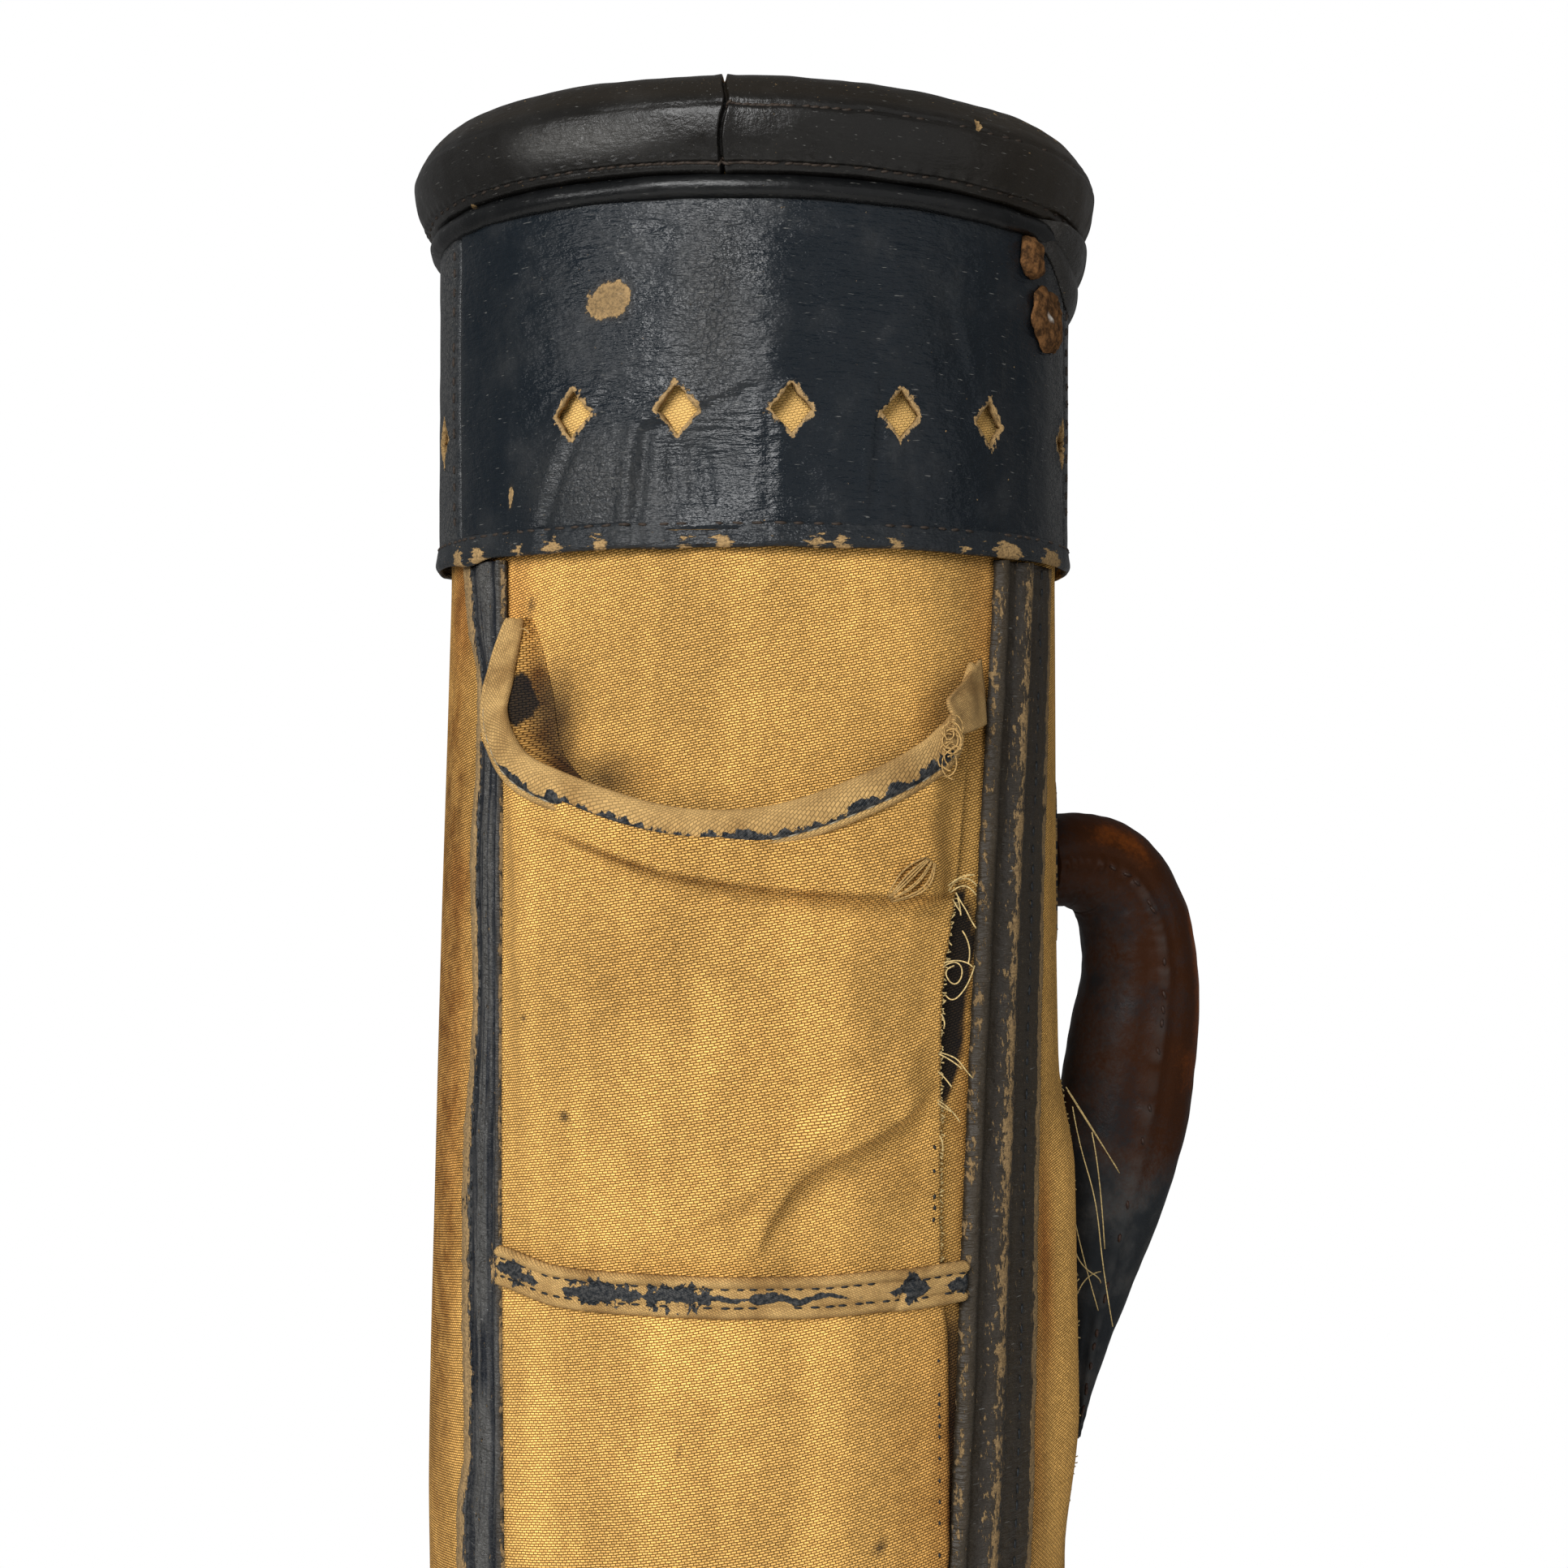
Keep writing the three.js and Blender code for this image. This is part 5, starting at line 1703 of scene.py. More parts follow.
class BAG_OT_rusted_fittings(bpy.types.Operator):
    """Make the two rusted steel pieces under the rim and the leather rolls beside them"""

    bl_idname = "bag.rusted_fittings"
    bl_label = "Rusted fittings"

    def execute(self, context):
        for row in RUST.values():
            self.make_scab(row)
        self.make_folds()
        return {"FINISHED"}

    def make_scab(self, row):
        """A flat, rounded piece of steel with a crusted, uneven edge."""

        def place(around, out):
            turn = full_turn(around)
            reach = math.sin(out * math.pi * 0.5) if out < 1 else 1.0
            ragged = 1 + 0.2 * rough(2 * math.cos(turn), 2 * math.sin(turn), row["z"])
            x = row["half_wide"] * reach * ragged * squared(math.cos(turn), row["power"])
            y = row["half_tall"] * reach * ragged * squared(math.sin(turn), row["power"])
            lift = row["rise"] * (1 - reach**4) ** 0.5
            lift += 0.7 * rough(x / 1.8, y / 1.8, 8)
            azimuth = row["azimuth"] + math.degrees(x / COLLAR_RADIUS)
            return on_shell(azimuth, COLLAR_RADIUS + GAP + lift, row["z"] + y)

        # A nick of bare steel in the oval, painted as a glint
        def nick(around, out, flat):
            x = flat[0] - (RUST["rust_oval"]["azimuth"] - 1.5) * MM_PER_DEGREE
            y = flat[1] - RUST["rust_oval"]["z"] - 0.4
            return hump((x * 0.6 + y) / 0.9) * hump((x - y * 0.6) / 2.4)

        bm = tube("rust", place, {"nick": nick})
        finish_piece(row["name"], bm, ["crusted_steel"], [row["node"]])

    def make_folds(self):
        """Hide that flares in two soft folds from the collar to the rim at the right."""

        def place(across, up):
            azimuth = mix(*FOLDS["azimuths"], across)
            foot = mix(*FOLDS["feet"], ease(across, 0, 0.32)) + 6 * ease(across, 0.75, 1)
            z = mix(foot, RIM_FOOT, up)
            ends = ease(across, 0, 0.1) * (1 - ease(across, 0.85, 1))
            lobes = abs(math.sin(2 * math.pi * up)) ** 0.7
            off = 0.2 + ends * (4.2 * up**1.2 + 1.3 * lobes * (1 - 0.5 * up))
            return on_shell(azimuth, COLLAR_RADIUS + off, z)

        bm = bent_sheet("folds", place, hide_paints(0.0, 0.25, 0.4))
        finish_piece("collar_flared_folds", bm, ["navy_cowhide"], (), FOLDS["thick"])


# Ball pocket


def mouth_row(azimuth, column):
    return look(MOUTH_RUN, azimuth, column)


def pocket_top(azimuth):
    step = 2
    held = clamp(azimuth, MOUTH_RUN[0]["azimuth"] + step, MOUTH_RUN[-1]["azimuth"] - step)
    slope = (mouth_row(held + step, "z") - mouth_row(held - step, "z")) / (2 * step * MM_PER_DEGREE)
    return mouth_row(azimuth, "z") - (BINDING_HALF_WIDE - 1.2) * math.hypot(1, slope)


def fold_step(rows, azimuth, z, above, below):
    """A fold that swells slowly above its line and drops away quickly below it."""
    line = look(rows, azimuth, "z")
    ends = ease(azimuth, rows[0]["azimuth"] - 3, rows[0]["azimuth"] + 14)
    far = z - line
    return ends * (hump(far / above) if far > 0 else hump(far / below))


def pocket_off(across, up, azimuth, z, slack):
    """How far the slack pocket stands off the body."""
    mouth = mouth_row(azimuth, "off") - POCKET_THICK / 2 - 0.6
    belly = slack * math.sin(math.pi * across)
    rise = math.sin(0.5 * math.pi * clamp((up - 0.05) / 0.35))
    left = mix(ease(across, 0, 0.1), 1, ease(up, 0.9, 1))
    right = 1 - ease(across, 0.88, 1)
    off = mix(belly, mouth, up * up)
    off += 4.0 * fold_step(FOLD_UNDER_MOUTH, azimuth, z, 14, 4.2) * ease(across, 0.1, 0.36)
    off -= 1.6 * fold_step(FOLD_UNDER_MOUTH, azimuth, z + 6, 4, 12) * ease(across, 0.3, 0.6)
    off += 4.2 * fold_step(FOLD_ACROSS, azimuth, z, 11, 5.0)
    off -= 1.4 * fold_step(FOLD_ACROSS, azimuth, z + 8, 5, 8)
    off += 1.8 * fold_step(FOLD_BESIDE, azimuth, z, 7, 6)
    off += 1.1 * waves(azimuth, z, 17, 34, 121) + 0.45 * waves(azimuth, z, 6, 16, 131)
    return POCKET_EDGE + max(0, off) * rise * left * right


def tear_share(z):
    return hump((z - (TEAR["foot"] + TEAR["top"]) / 2) / ((TEAR["top"] - TEAR["foot"]) * 0.62))


def pocket_place(slack):
    head_left = seam_edge("left", POCKET_HEAD_LEFT, 1)
    head_right = look(POCKET_RIGHT, POCKET_HEAD_RIGHT, "azimuth")

    def place(across, up):
        z = mix(POCKET_FOOT, pocket_top(mix(head_left, head_right, across)), up)
        torn = tear_share(z)
        right = look(POCKET_RIGHT, z, "azimuth") - TEAR["pull"] * torn
        ragged = 0.4 * rough(z / 3, 3, 3) + 0.4 * rough(z / 0.9, 8, 3)
        right += ragged * (1 - ease(z, 686, 694))
        azimuth = mix(seam_edge("left", z, 1), right, across)
        off = pocket_off(across, up, azimuth, z, slack)
        off += TEAR["lift"] * torn * ease(across, 0.82, 1)
        return on_shell(azimuth, body_radius(z) + off + POCKET_THICK, z)

    return place


# Dirt and painted shade from the stains table, painted shade under the two folds, and a darker patch where
# threads are pulled
def pocket_soil(x, y, flat):
    azimuth = azimuth_of(flat)
    soil = spot_sum(STAINS, "soil", azimuth, flat[1])
    for rows, depth in ((FOLD_UNDER_MOUTH, 0.9), (FOLD_ACROSS, 0.35)):
        below = look(rows, azimuth, "z") - flat[1] - 1.6
        soil += depth * fold_step(rows, azimuth, flat[1], 3.0, 5.0) * hump(below / 1.6)
    middle, level = PULLED["middle"]
    pulled = math.hypot((azimuth - middle) * MM_PER_DEGREE, flat[1] - level)
    return clamp(soil + 1.4 * hump(pulled / PULLED["half"]))


def mouth_curve(share):
    """A smooth line along the mouth: azimuth, height and how far it stands off."""
    return [look(MOUTH_LINE, share, column) for column in ("azimuth", "z", "off")]


def mouth_point(share):
    azimuth, z, off = mouth_curve(share)
    return polar(azimuth, body_radius(z) + off, z)


def binding_place(round_it, along):
    """The rolled binding: a flattened tube with a sewn groove below its middle."""
    turn = full_turn(round_it)
    azimuth, z, off = mouth_curve(along)
    run = heading(mouth_point, along)
    out = outward(azimuth)
    side = out.cross(run).normalized()
    end = math.sqrt(clamp(8 * min(along, 1 - along)))
    uneven = 1 + 0.12 * rough(along * 22, 2, 7)
    tucked = mix(1, 0.45, ease(along, 0.82, 0.92))
    wide = BINDING_HALF_WIDE * 1.3 * squared(math.sin(turn), 0.85) * mix(0.6, 1, end) * tucked
    thick = BINDING_HALF_THICK * squared(math.cos(turn), 0.7) * mix(0.5, 1, end) * uneven
    groove = 0.6 * hump((math.sin(turn) - BINDING_SEAM) / 0.16) * ease(math.cos(turn), 0, 0.4)
    lower = 0.9 * ease(along, 0.2, 0.35) * (1 - ease(along, 0.75, 0.9))
    point = mouth_point(along) + out * (thick - groove) * MM - side * (wide + lower) * MM
    return point, (along * MOUTH_LENGTH, turn * 2.6)


def binding_above(round_it, along, flat):
    """How far a spot is above the seam, in millimetres."""
    turn = full_turn(round_it)
    if math.cos(turn) < 0:
        return -1.0
    return BINDING_HALF_WIDE * (BINDING_SEAM**0.85 - squared(math.sin(turn), 0.85))


def binding_skin(round_it, along, flat):
    return look(BINDING_FLAKES, along, "reach")


def band_place(across, up):
    z = mix(BAND_FOOT + 0.3, BAND_TOP - 0.6, up)
    azimuth = mix(seam_edge("left", z, 1), seam_edge("right", z, -1), across)
    lift = 2.4 * (1 - ease(azimuth, -43, -30)) + 0.4 * waves(azimuth, 0, 10, 9, 141)
    joint = 0.6 * hump((across - 0.83 - 0.05 * up) / 0.012)
    rise = look(BAND_OUTLINE, up, "rise") + 0.16 * waves(azimuth, z, 4, 5, 151) - joint
    radius = body_radius(z) + POCKET_EDGE + POCKET_THICK + 0.2 + rise
    return on_shell(azimuth, radius, z + lift)


def band_above(across, up, flat):
    middle = 0.5 + 0.13 * rough(across * 18, 4, 2)
    return abs(up - middle) * (BAND_TOP - BAND_FOOT)


def band_skin(across, up, flat):
    return look(BAND_FLAKES, across, "reach")


def lower_place(across, up):
    z = mix(STRIP_FOOT, POCKET_FOOT - GAP, up)
    right = look(POCKET_RIGHT, z, "azimuth") + 0.2 * rough(z / 1.0, 5, 3)
    azimuth = mix(seam_edge("left", z, 1), right, across)
    ripple = 0.25 * waves(azimuth, z, 10, 60, 161) * math.sin(math.pi * across)
    return on_shell(azimuth, body_radius(z) + POCKET_EDGE + POCKET_THICK + ripple, z)


def lining_place(across, up):
    """The inside of the pocket's left side, from the binding back to the front panel."""
    azimuth, z, off = mouth_curve(mix(0.0, LINING_REACH, up))
    inner = look(LINING_EDGE, z, "azimuth")
    bowed = mix(off + 0.5, 0.06, ease(across, 0, 0.95))
    crumple = 0.5 * rough(across * 3, z / 5, 4) * ease(across, 0.1, 0.4) * (1 - across)
    return on_shell(mix(azimuth, inner, across), body_radius(z) + bowed + crumple, z)


# The lining's navy patch, and painted shade that deepens towards the front panel and down
def lining_dark(across, up, flat):
    patch = hump(across, 0.42, 0.42) * hump(up, 0.42, 0.24)
    stained = 0.95 * ease(patch + 0.6 * rough(across * 5, up * 14, 3), 0.36, 0.46)
    return max(stained, 0.75 * ease(across, 0.25, 0.8) * ease(up, 0.1, 0.4))


# Painted shade over the whole lining, deepest in its fold
def lining_soil(across, up, flat):
    return 0.4 + 0.75 * hump(across, 0.75, 0.5)


def tab_place(across, up):
    """The loose canvas tab at the right end of the mouth."""
    corners = {name: Vector(spot) for name, spot in TAB_CORNERS.items()}
    left = corners["foot_left"].lerp(corners["top_left"], up)
    right = corners["foot_right"].lerp(corners["top_right"], up)
    azimuth, z = left.lerp(right, across)
    azimuth += 0.6 * rough(up * 3, 5, 1) * (1 - across)
    lift = mix(*TAB_LIFT, across) + math.sin(3 * across + 2 * up)
    lift += 0.8 * rough(across * 2.5, up * 2.5, 8)
    return on_shell(azimuth, body_radius(z) + lift, z)


def cut_width(row):
    """Width in metres of a flat cloth that covers an arc of the body."""
    return math.radians(row["arc"]) * (body_radius(row["level"]) + row["outside"]) * MM


class BAG_OT_pocket(bpy.types.Operator):
    """Make the slack ball pocket, its bound mouth, the band at its foot and the panel below"""

    bl_idname = "bag.pocket"
    bl_label = "Ball pocket"

    def execute(self, context):
        sizes = context.scene.bag_sizes
        wall = sizes.pocket_wall / MM
        place = pocket_place(sizes.pocket_slack / MM)
        bm = bent_sheet("pocket", place, {**CANVAS_PAINTS, "soil": pocket_soil})
        canvas, tape = ["twill_canvas"], ["tape_over_leather"]
        cloth = finish_piece("pocket_slack_front", bm, canvas, ["pocket_panel"], wall - 0.6)
        bm = tube("binding", binding_place, {"skin": binding_skin, "above": binding_above, "soil": 0.0})
        finish_piece("pocket_mouth_binding", bm, tape, ["pocket_binding"])
        bm = bent_sheet("band", band_place, {"skin": band_skin, "above": band_above, "soil": 0.0})
        finish_piece("pocket_foot_band", bm, tape, ["pocket_band"], BAND_THICK)
        bm = bent_sheet("lower", lower_place, CANVAS_PAINTS)
        lower = finish_piece("canvas_lower", bm, canvas, ["lower_panel"], wall - 0.3)
        bm = bent_sheet("lining", lining_place, {"tint": 0.0, "dark": lining_dark, "soil": lining_soil})
        lining = finish_piece("pocket_side_lining", bm, canvas, (), LINING_THICK)
        bm = bent_sheet("tab", tab_place, {"skin": 0.0, "above": 0.1, "soil": 0.0})
        tab = finish_piece("pocket_right_tab", bm, ["tab_canvas"], (), TAB_THICK)
        stitches = self.make_stitches(place)
        wide = cut_width(POCKET_CUT)
        wide = cut_width(LOWER_CUT)
        return {"FINISHED"}

    def make_stitches(self, place):
        """The stitches of the band, the two right edges and the bound mouth."""
        bm = bmesh.new()
        for seed, up in BAND_SEAMS.items():
            stitch_row(bm, line_on(band_place, up=up), seed, "band")
        for row, sheet in zip(EDGE_SEAMS, (lower_place, place), strict=True):
            line = line_on(sheet, across=row["across"])
            stitch_row(bm, part_of(line, row["start"], row["end"]), row["name"], row["name"])

        def groove(share):
            along = mix(*BINDING_SEWN, share)
            azimuth = mouth_curve(along)[0]
            return binding_place(0.5 + math.asin(BINDING_SEAM) / (2 * math.pi), along)[0], outward(azimuth)

        seam = bmesh.new()
        stitch_row(seam, groove, "binding", "binding")
        finish_piece("mouth_seam_thread", seam, ["grey_thread"])
        return finish_piece("pocket_stitches", bm, ["black_thread"])


# Carrying handle


def handle_spot(share):
    reach, z = (look(HANDLE, share, column) for column in ("reach", "z"))
    return polar(HANDLE_AZIMUTH, body_radius(z) + reach, z)


def handle_frame(share):
    run = heading(handle_spot, share)
    turn = math.radians(HANDLE_AZIMUTH)
    side = Vector((-math.cos(turn), -math.sin(turn), 0))
    return run, side.cross(run).normalized(), side


def handle_lumps(along):
    """How far the handle's seam is puckered along its length."""
    fine = rough(along * HANDLE_LENGTH / 3.2, 3, 3)
    return clamp(0.34 + 0.9 * fine + 0.5 * rough(along * HANDLE_LENGTH / 9, 3, 7))


def handle_seam(round_it, along, flat):
    """Painted grey highlights on the puckers of the seam."""
    turn = full_turn(round_it)
    near = max(hump(turn, seam, 0.13) for seam in HANDLE_SEAMS)
    return 0.55 * near * handle_lumps(along) * ease(along, 0.12, 0.3)


def handle_place(round_it, along):
    turn = full_turn(round_it)
    run, out, side = handle_frame(along)
    half, wide = (look(HANDLE, along, column) for column in ("half", "wide"))
    ridge = 0.0
    lumps = handle_lumps(along)
    for seam in HANDLE_SEAMS:
        away = abs((turn - seam + math.pi) % (2 * math.pi) - math.pi) / 0.15
        ridge += (0.25 + 0.95 * lumps) * hump(away / 1.3) - 0.4 * hump(away, 1.7, 0.9)
    spot = Vector((math.cos(turn) * 1.6, math.sin(turn) * 1.6, along * 16))
    push = ridge + 0.35 * noise.noise(spot) + 0.18 * noise.noise(spot * 3.1)
    across = (half + push) * math.cos(turn)
    aside = (wide + push) * math.sin(turn)
    point = handle_spot(along) + (out * across + side * aside) * MM
    return point, (turn * half, along * HANDLE_LENGTH)


def handle_patina(round_it, along, flat):
    turn = full_turn(round_it)
    upper = 1 - ease(along, 0.54, 0.68)
    inside = 0.14 * ease(-math.cos(turn), 0.1, 0.9)
    amount = 0.02 + upper * (0.36 - inside)
    for row in PALM_RUBS:
        rub = row["amount"] * hump(along, row["along"], row["half_long"])
        amount += rub * hump(turn, row["turn"], row["half_turn"])
    return amount


def patch_place(levels):
    foot, top = levels

    def place(across, up):
        z = mix(foot, top, up)
        corner = 1.4 * (abs(2 * across - 1) ** 6 + abs(2 * up - 1) ** 6) / 2
        azimuth = HANDLE_AZIMUTH + (across - 0.5) * TAB_DEGREES * (1 - 0.03 * abs(2 * up - 1) ** 8)
        return on_shell(azimuth, body_radius(z) + GAP + LEATHER_THICK - 0.25 * corner, z)

    return place


def patch_wear(across, up, flat):
    return 0.12 + 0.4 * ease(max(abs(2 * across - 1), abs(2 * up - 1)), 0.9, 1)


class BAG_OT_handle(bpy.types.Operator):
    """Make the padded carrying handle, its sewn seams and the patches that hold its ends"""

    bl_idname = "bag.handle"
    bl_label = "Carrying handle"

    def execute(self, context):
        bm = tube("handle", handle_place, {"patina": handle_patina, "seam": handle_seam})
        loop = finish_piece("handle_padded_loop", bm, ["harness_leather"], ["handle"])
        stitches = bmesh.new()
        for number, seam in enumerate(HANDLE_SEAMS):

            def path(share, seam=seam):
                along = mix(*HANDLE_SEWN, share)
                round_it = seam / (2 * math.pi) + 0.5
                run, out, side = handle_frame(along)
                return handle_place(round_it, along)[0], out * math.cos(seam) + side * math.sin(seam)

            stitch_row(stitches, path, f"handle {number}", "handle")
        paints = hide_paints(patch_wear)
        for name, levels in TABS.items():
            place = patch_place(levels)
            bm = bent_sheet("patch", place, paints)
            node = "handle_tab_" + name
            finish_piece("handle_patch_" + name, bm, ["navy_cowhide"], [node], LEATHER_THICK)
            for share in TAB_SEAMS:
                stitch_row(stitches, line_on(place, across=share), name + str(share), "patch")
                stitch_row(stitches, line_on(place, up=share), name + str(-share), "patch")
        finish_piece("handle_stitches", stitches, ["waxed_thread"])
        return {"FINISHED"}


# Foot


def cuff_place(across, up):
    azimuth = mix(-180, 180, across)
    z = mix(WALL_FOOT, CUFF_TOP, up)
    roll = 0.5 * hump(up, 0.985, 0.03) - 0.6 * ease(up, 0.99, 1)
    ripple = 0.2 * waves(azimuth, z, 12, 24, 181)
    return on_shell(azimuth, body_radius(z) + GAP + LEATHER_THICK + roll + ripple, z)


def cuff_wear(across, up, flat):
    azimuth = azimuth_of(flat)
    low = 0.5 * (1 - ease(up, 0.0, 0.16)) * clamp(0.6 + waves(azimuth, 0, 9, 9, 191))
    return max(0.08, low, 0.34 * ease(up, 0.97, 1))


class BAG_OT_foot(bpy.types.Operator):
    """Make the leather cuff round the foot and the stiff base"""

    bl_idname = "bag.foot"
    bl_label = "Foot"

    def execute(self, context):
        bm = ring("cuff", cuff_place, hide_paints(cuff_wear))
        finish_piece("foot_cuff", bm, ["navy_cowhide"], ["base_cuff"], LEATHER_THICK)
        self.make_base()
        bm = bmesh.new()
        for up in CUFF_SEAMS:
            stitch_row(bm, line_on(cuff_place, up=up), "cuff" + str(up), "cuff")
        finish_piece("foot_stitches", bm, ["brown_thread"])
        return {"FINISHED"}

    def make_base(self):
        """A disc turned from its outline, with a rounded edge and a shallow hollow underneath."""
        bm = bmesh.new()
        spots = [bm.verts.new((row["radius"] * MM, 0, row["z"] * MM)) for row in BASE_OUTLINE]
        edges = [bm.edges.new(pair) for pair in zip(spots, spots[1:], strict=False)]
        bmesh.ops.spin(
            bm,
            geom=spots + edges,
            cent=(0, 0, 0),
            axis=(0, 0, 1),
            angle=2 * math.pi,
            steps=BASE_STEPS,
            use_merge=True,
        )
        bmesh.ops.remove_doubles(bm, verts=bm.verts, dist=WELD * MM)
        bmesh.ops.recalc_face_normals(bm, faces=bm.faces)
        for paint in ("wear", "bloom"):
            bm.verts.layers.float.new(paint)
        wear = bm.verts.layers.float["wear"]
        flat_map = bm.loops.layers.uv.new(FLAT_MAP)
        for vert in bm.verts:
            radius = vert.co.xy.length / MM
            vert[wear] = 0.1 + 0.4 * ease(radius, BASE_RADIUS - 18, BASE_RADIUS)
        for face in bm.faces:
            for loop in face.loops:
                loop[flat_map].uv = loop.vert.co.xy / MM
        finish_piece("foot_base", bm, ["navy_cowhide"], ["base_disc"])


# Frayed threads


def photo_spot(x, y, back):
    """The point behind a pixel of the photograph, at a distance back from the bag's axis."""
    far = back - CAMERA_PLACE[1]
    across = CAMERA_PLACE[0] + (x - PHOTO_SIDE / 2) / PHOTO_FOCAL * far
    return Vector((across, back, CAMERA_PLACE[2] + (PHOTO_HORIZON - y) / PHOTO_FOCAL * far)) * MM


def photo_thread(spots, start_back, end_back, draw):
    """A loose thread through pixels of the photograph, with a little wander towards the camera."""
    last = len(spots) - 1
    points = []
    for index, (x, y) in enumerate(spots):
        back = mix(start_back, end_back, index / last) + draw.uniform(-0.8, 0.8)
        points.append(photo_spot(x, y, back))
    return points


def fringe(draw, start, way, length):
    """A short end of thread."""
    bend = Vector((draw.uniform(-0.3, 0.3), draw.uniform(-0.3, 0.3), draw.uniform(-0.4, 0.4))) * MM
    reach = way.normalized() * length * MM
    return [start - reach * 0.4, start + reach * 0.4 + bend, start + reach - bend]


class BAG_OT_loose_threads(bpy.types.Operator):
    """Make the frayed threads at the tear, the mouth's right end and the torn side"""

    bl_idname = "bag.loose_threads"
    bl_label = "Loose threads"

    def execute(self, context):
        sizes = context.scene.bag_sizes
        thick = sizes.loose_thread / MM
        draw = random.Random(THREAD_SEED)
        thread_piece("tear_fray", self.tear_paths(draw), thick, "straw_thread")
        thread_piece("mouth_fray", self.mouth_paths(draw), thick, "pulled_thread")
        thread_piece("side_fray", self.side_paths(draw), thick * SIDE_FRINGE["thick"], "straw_thread")
        pulled = self.pulled_paths(draw, sizes.pocket_slack / MM)
        thread_piece("pulled_patch", pulled, thick * PULLED["thick"], "pulled_thread")
        return {"FINISHED"}

    def tear_paths(self, draw):
        """Threads that hang from the torn edge, and a fringe of short ends along it."""
        paths = [photo_thread(spots, TEAR_BACK, TEAR_BACK - 1, draw) for spots in TEAR_THREADS]
        count = TEAR_FRINGE["count"]
        for step in range(count):
            z = mix(TEAR_FRINGE["foot"], TEAR_FRINGE["top"], (step + draw.random()) / count)
            azimuth = look(POCKET_RIGHT, z, "azimuth") - TEAR["pull"] * tear_share(z)
            off = POCKET_THICK + POCKET_EDGE + TEAR["lift"] * tear_share(z) - 0.3
            way = outward(azimuth + 85) + Vector((0, 0, draw.uniform(-0.9, 0.7)))
            start = polar(azimuth, body_radius(z) + off, z)
            paths.append(fringe(draw, start, way, draw.uniform(*TEAR_FRINGE["lengths"])))
        return paths

    def pulled_paths(self, draw, slack):
        """A patch of threads pulled loose above the tear, bowed apart like an eye."""
        paths = []
        count, parts = PULLED["count"], PULLED["parts"]
        for step in range(count):
            side = 2 * step / (count - 1) - 1 + draw.uniform(-0.16, 0.16)
            points = []
            for part in range(parts + 1):
                share = part / parts
                bow = side * PULLED["bow"] * math.sin(math.pi * mix(0.12, 0.88, share))
                azimuth = mix(*PULLED["azimuths"], share) + 0.55 * bow
                z = mix(*PULLED["levels"], share) - 0.62 * bow
                up = (z - POCKET_FOOT) / (pocket_top(azimuth) - POCKET_FOOT)
                off = pocket_off(PULLED["across"], up, azimuth, z, slack)
                lift = 0.25 + 0.6 * math.sin(math.pi * share)
                points.append(polar(azimuth, body_radius(z) + off + POCKET_THICK + lift, z))
            paths.append(points)
        return paths

    def mouth_paths(self, draw):
        """A knot of curled threads at the mouth's right end, and two loose ends."""
        paths = []
        row = MOUTH_KNOT
        for _ in range(row["count"]):
            turn = draw.uniform(0, 2 * math.pi)
            x = row["x"] + draw.uniform(-0.5, 0.5) * row["half_wide"]
            y = row["y"] + draw.uniform(-0.9, 0.9) * row["half_tall"]
            size = draw.uniform(*row["sizes"])
            bend = draw.choice((-1, 1)) * draw.uniform(0.4, 1.0)
            turns = [turn + bend * part for part in range(row["parts"])]
            spots = [(x + size * math.cos(turn), y + 1.3 * size * math.sin(turn)) for turn in turns]
            paths.append(photo_thread(spots, MOUTH_BACK, MOUTH_BACK - 1.5, draw))
        for spots in MOUTH_ENDS:
            paths.append(photo_thread(spots, *MOUTH_ENDS_BACK, draw))
        return paths

    def side_paths(self, draw):
        """Threads that hang from the torn side, and a fringe of short ends along it."""
        paths = [photo_thread(spots, *SIDE_BACK, draw) for spots in SIDE_THREADS]
        count = SIDE_FRINGE["count"]
        for step in range(count):
            z = mix(SIDE_FRINGE["foot"], SIDE_FRINGE["top"], (step + draw.random()) / count)
            azimuth = SIDE_FRINGE["azimuth"] + draw.uniform(-1, 3)
            way = outward(azimuth) + outward(azimuth + 90) * draw.uniform(-0.4, 0.8)
            way += Vector((0, 0, draw.uniform(-1.0, 0.6)))
            start = polar(azimuth, body_radius(z) + side_bulge(azimuth, z), z)
            paths.append(fringe(draw, start, way, draw.uniform(*SIDE_FRINGE["lengths"])))
        return paths


# Studio


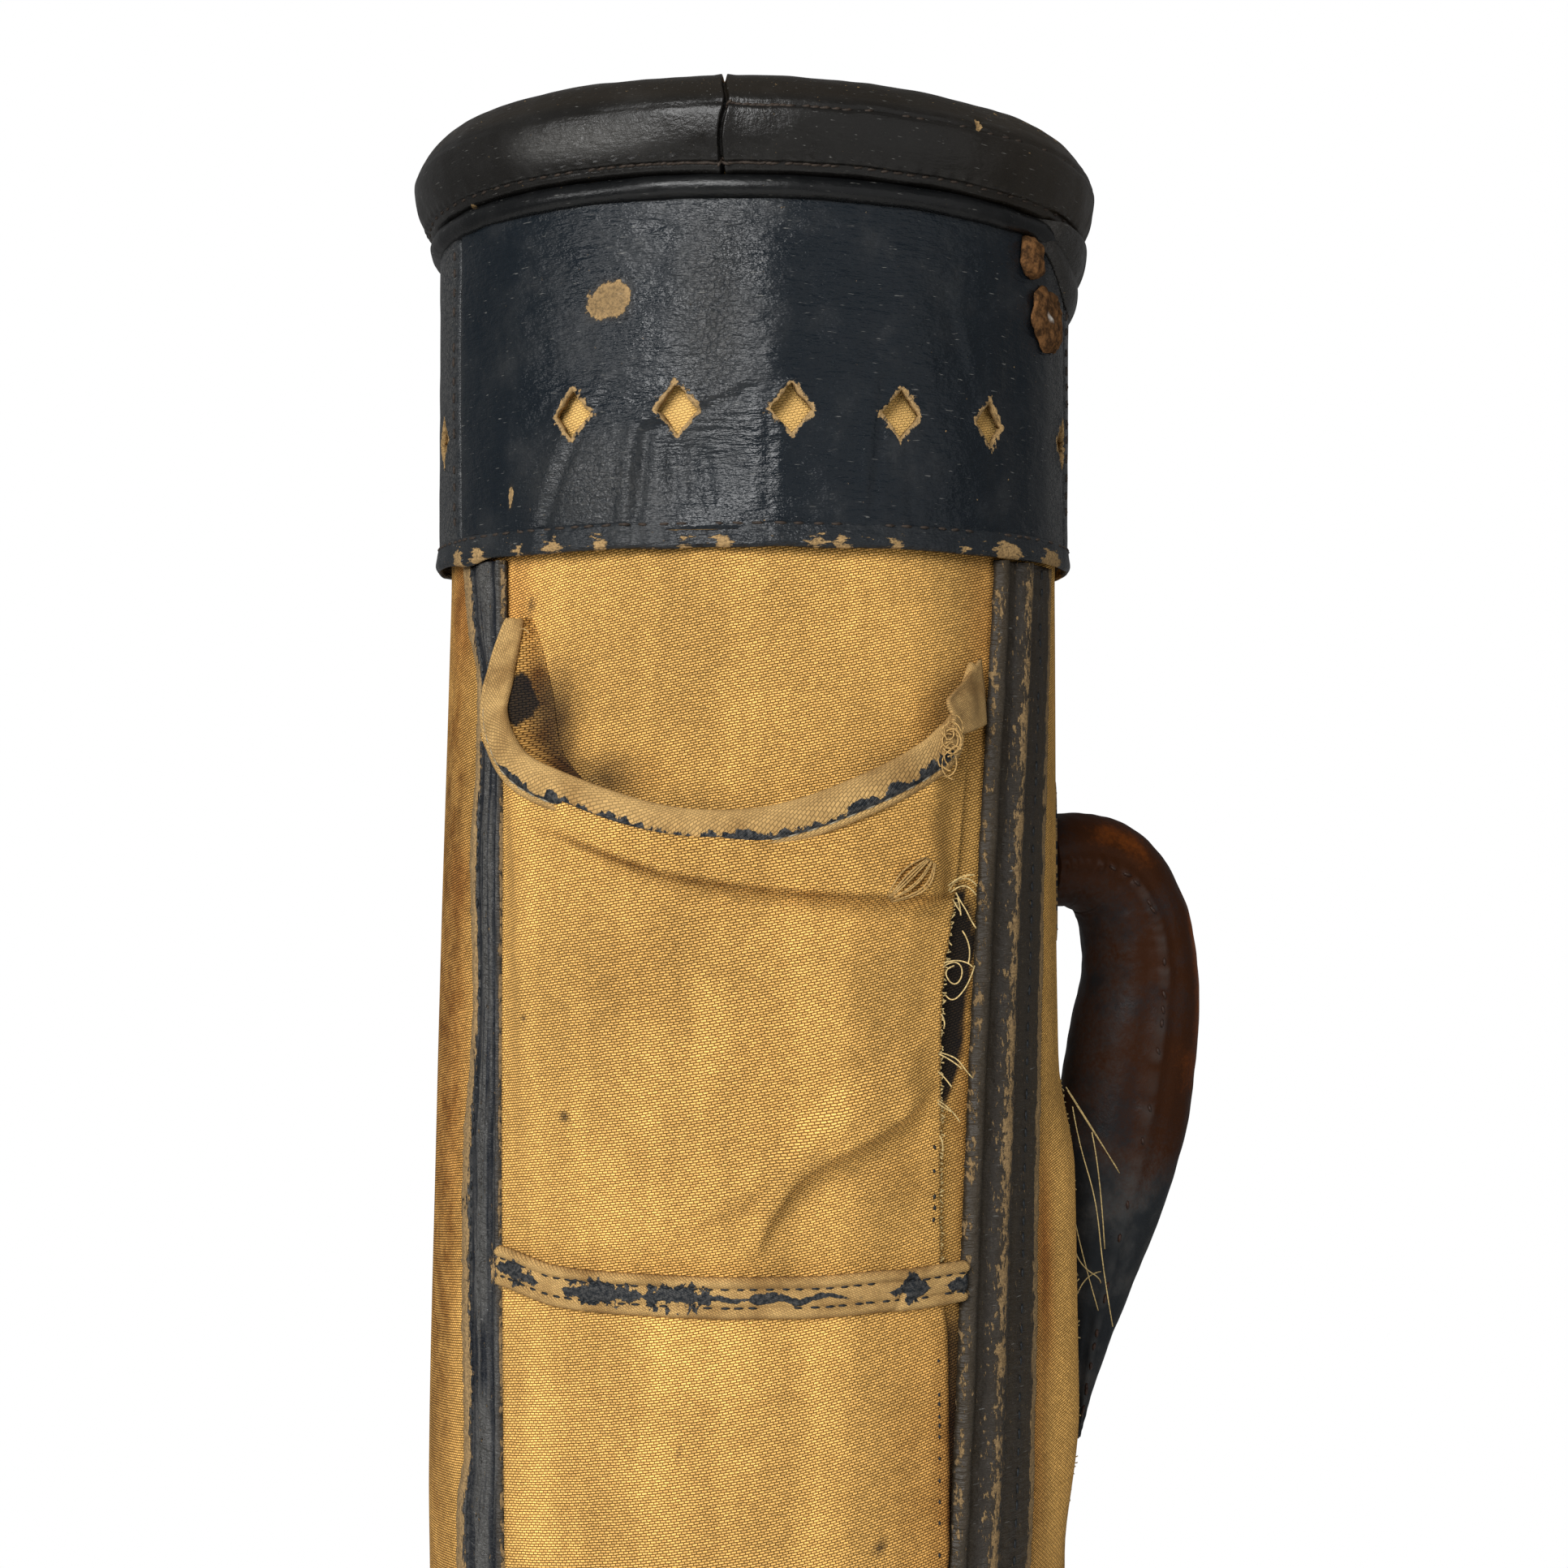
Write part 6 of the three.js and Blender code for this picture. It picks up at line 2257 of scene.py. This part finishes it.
class BAG_OT_studio(bpy.types.Operator):
    """Make the pale floor, the soft lights and the camera"""

    bl_idname = "bag.studio"
    bl_label = "Studio"

    def execute(self, context):
        scene = context.scene
        self.make_floor(scene)
        self.make_world(scene)
        self.make_lights(scene)
        self.make_camera(scene)
        scene.view_settings.view_transform = "Standard"
        return {"FINISHED"}

    def make_lights(self, scene):
        for number, row in enumerate(LIGHTS):
            lamp = bpy.data.lights.new(f"softbox_{number}", "AREA")
            lamp.energy = row["watts"]
            lamp.shape = "SQUARE"
            lamp.size = row["wide"]
            holder = bpy.data.objects.new(f"softbox_{number}", lamp)
            holder.location = (row["x"], row["y"], row["z"])
            aim = Vector(LIGHT_AIM) - holder.location
            holder.rotation_euler = aim.to_track_quat("-Z", "Y").to_euler()
            scene.collection.objects.link(holder)

    def make_camera(self, scene):
        """The photograph's camera, pitched so that the horizon falls where the photograph has it."""
        lens = bpy.data.cameras.new("photo_camera")
        lens.sensor_width = SENSOR
        lens.lens = SENSOR * PHOTO_FOCAL / PHOTO_SIDE
        lens.clip_start = CLIP_START
        camera = bpy.data.objects.new("photo_camera", lens)
        camera.location = Vector(CAMERA_PLACE) * MM
        pitch = math.atan((PHOTO_HORIZON - PHOTO_SIDE / 2) / PHOTO_FOCAL)
        camera.rotation_euler = (math.pi / 2 + pitch, 0, 0)
        scene.collection.objects.link(camera)
        scene.camera = camera

    def make_floor(self, scene):
        bm = bmesh.new()
        bmesh.ops.create_circle(bm, cap_ends=True, segments=FLOOR_STEPS, radius=scene.bag_sizes.floor_radius)
        mesh = bpy.data.meshes.new("pale_floor")
        bm.to_mesh(mesh)
        bm.free()
        # Matt white paper: an even pale grey with a soft shadow
        finish, node = new_finish("matt_paper")
        surface = {"Base Color": rgba(scene.bag_colours.floor), "Roughness": 0.9}
        node("OutputMaterial", [node("BsdfPrincipled", surface)])
        mesh.materials.append(finish)
        floor = bpy.data.objects.new("pale_floor", mesh)
        scene.collection.objects.link(floor)

    def make_world(self, scene):
        """White behind the bag, with a softer light from all round."""
        world = bpy.data.worlds.new("white_studio")
        world.use_nodes = True
        world.node_tree.nodes.clear()
        node = partial(add, world.node_tree)
        soft, white = (node("Background", ((1, 1, 1, 1), light)) for light in (ROOM_LIGHT, 1.0))
        node("OutputWorld", [node("MixShader", (node("LightPath"), soft, white))])
        scene.world = world


STEPS = (
    BAG_OT_studio,
    BAG_OT_canvas_walls,
    BAG_OT_seam_strips,
    BAG_OT_collar,
    BAG_OT_rim,
    BAG_OT_rusted_fittings,
    BAG_OT_pocket,
    BAG_OT_handle,
    BAG_OT_foot,
    BAG_OT_loose_threads,
)


class BAG_PT_panel(bpy.types.Panel):
    """Lists the bag's pieces, sizes and colours."""

    bl_idname = "BAG_PT_panel"
    bl_label = "Golf bag"
    bl_space_type = "VIEW_3D"
    bl_region_type = "UI"
    bl_category = "Golf bag"

    def draw(self, context):
        for step in STEPS:
            self.layout.operator(step.bl_idname)
        for group in (context.scene.bag_sizes, context.scene.bag_colours):
            column = self.layout.column()
            for name in group.bl_rna.properties.keys():
                if name not in ("rna_type", "name"):
                    column.prop(group, name)


CLASSES = (BagSizes, BagColours, *STEPS, BAG_PT_panel)


def register():
    for each in CLASSES:
        bpy.utils.register_class(each)
    bpy.types.Scene.bag_sizes = bpy.props.PointerProperty(type=BagSizes)
    bpy.types.Scene.bag_colours = bpy.props.PointerProperty(type=BagColours)


def unregister():
    del bpy.types.Scene.bag_colours
    del bpy.types.Scene.bag_sizes
    for each in reversed(CLASSES):
        bpy.utils.unregister_class(each)


def main():
    register()
    for step in STEPS:
        group, name = step.bl_idname.split(".")
        getattr(getattr(bpy.ops, group), name)()
    bpy.context.view_layer.update()


if __name__ == "__main__":
    main()
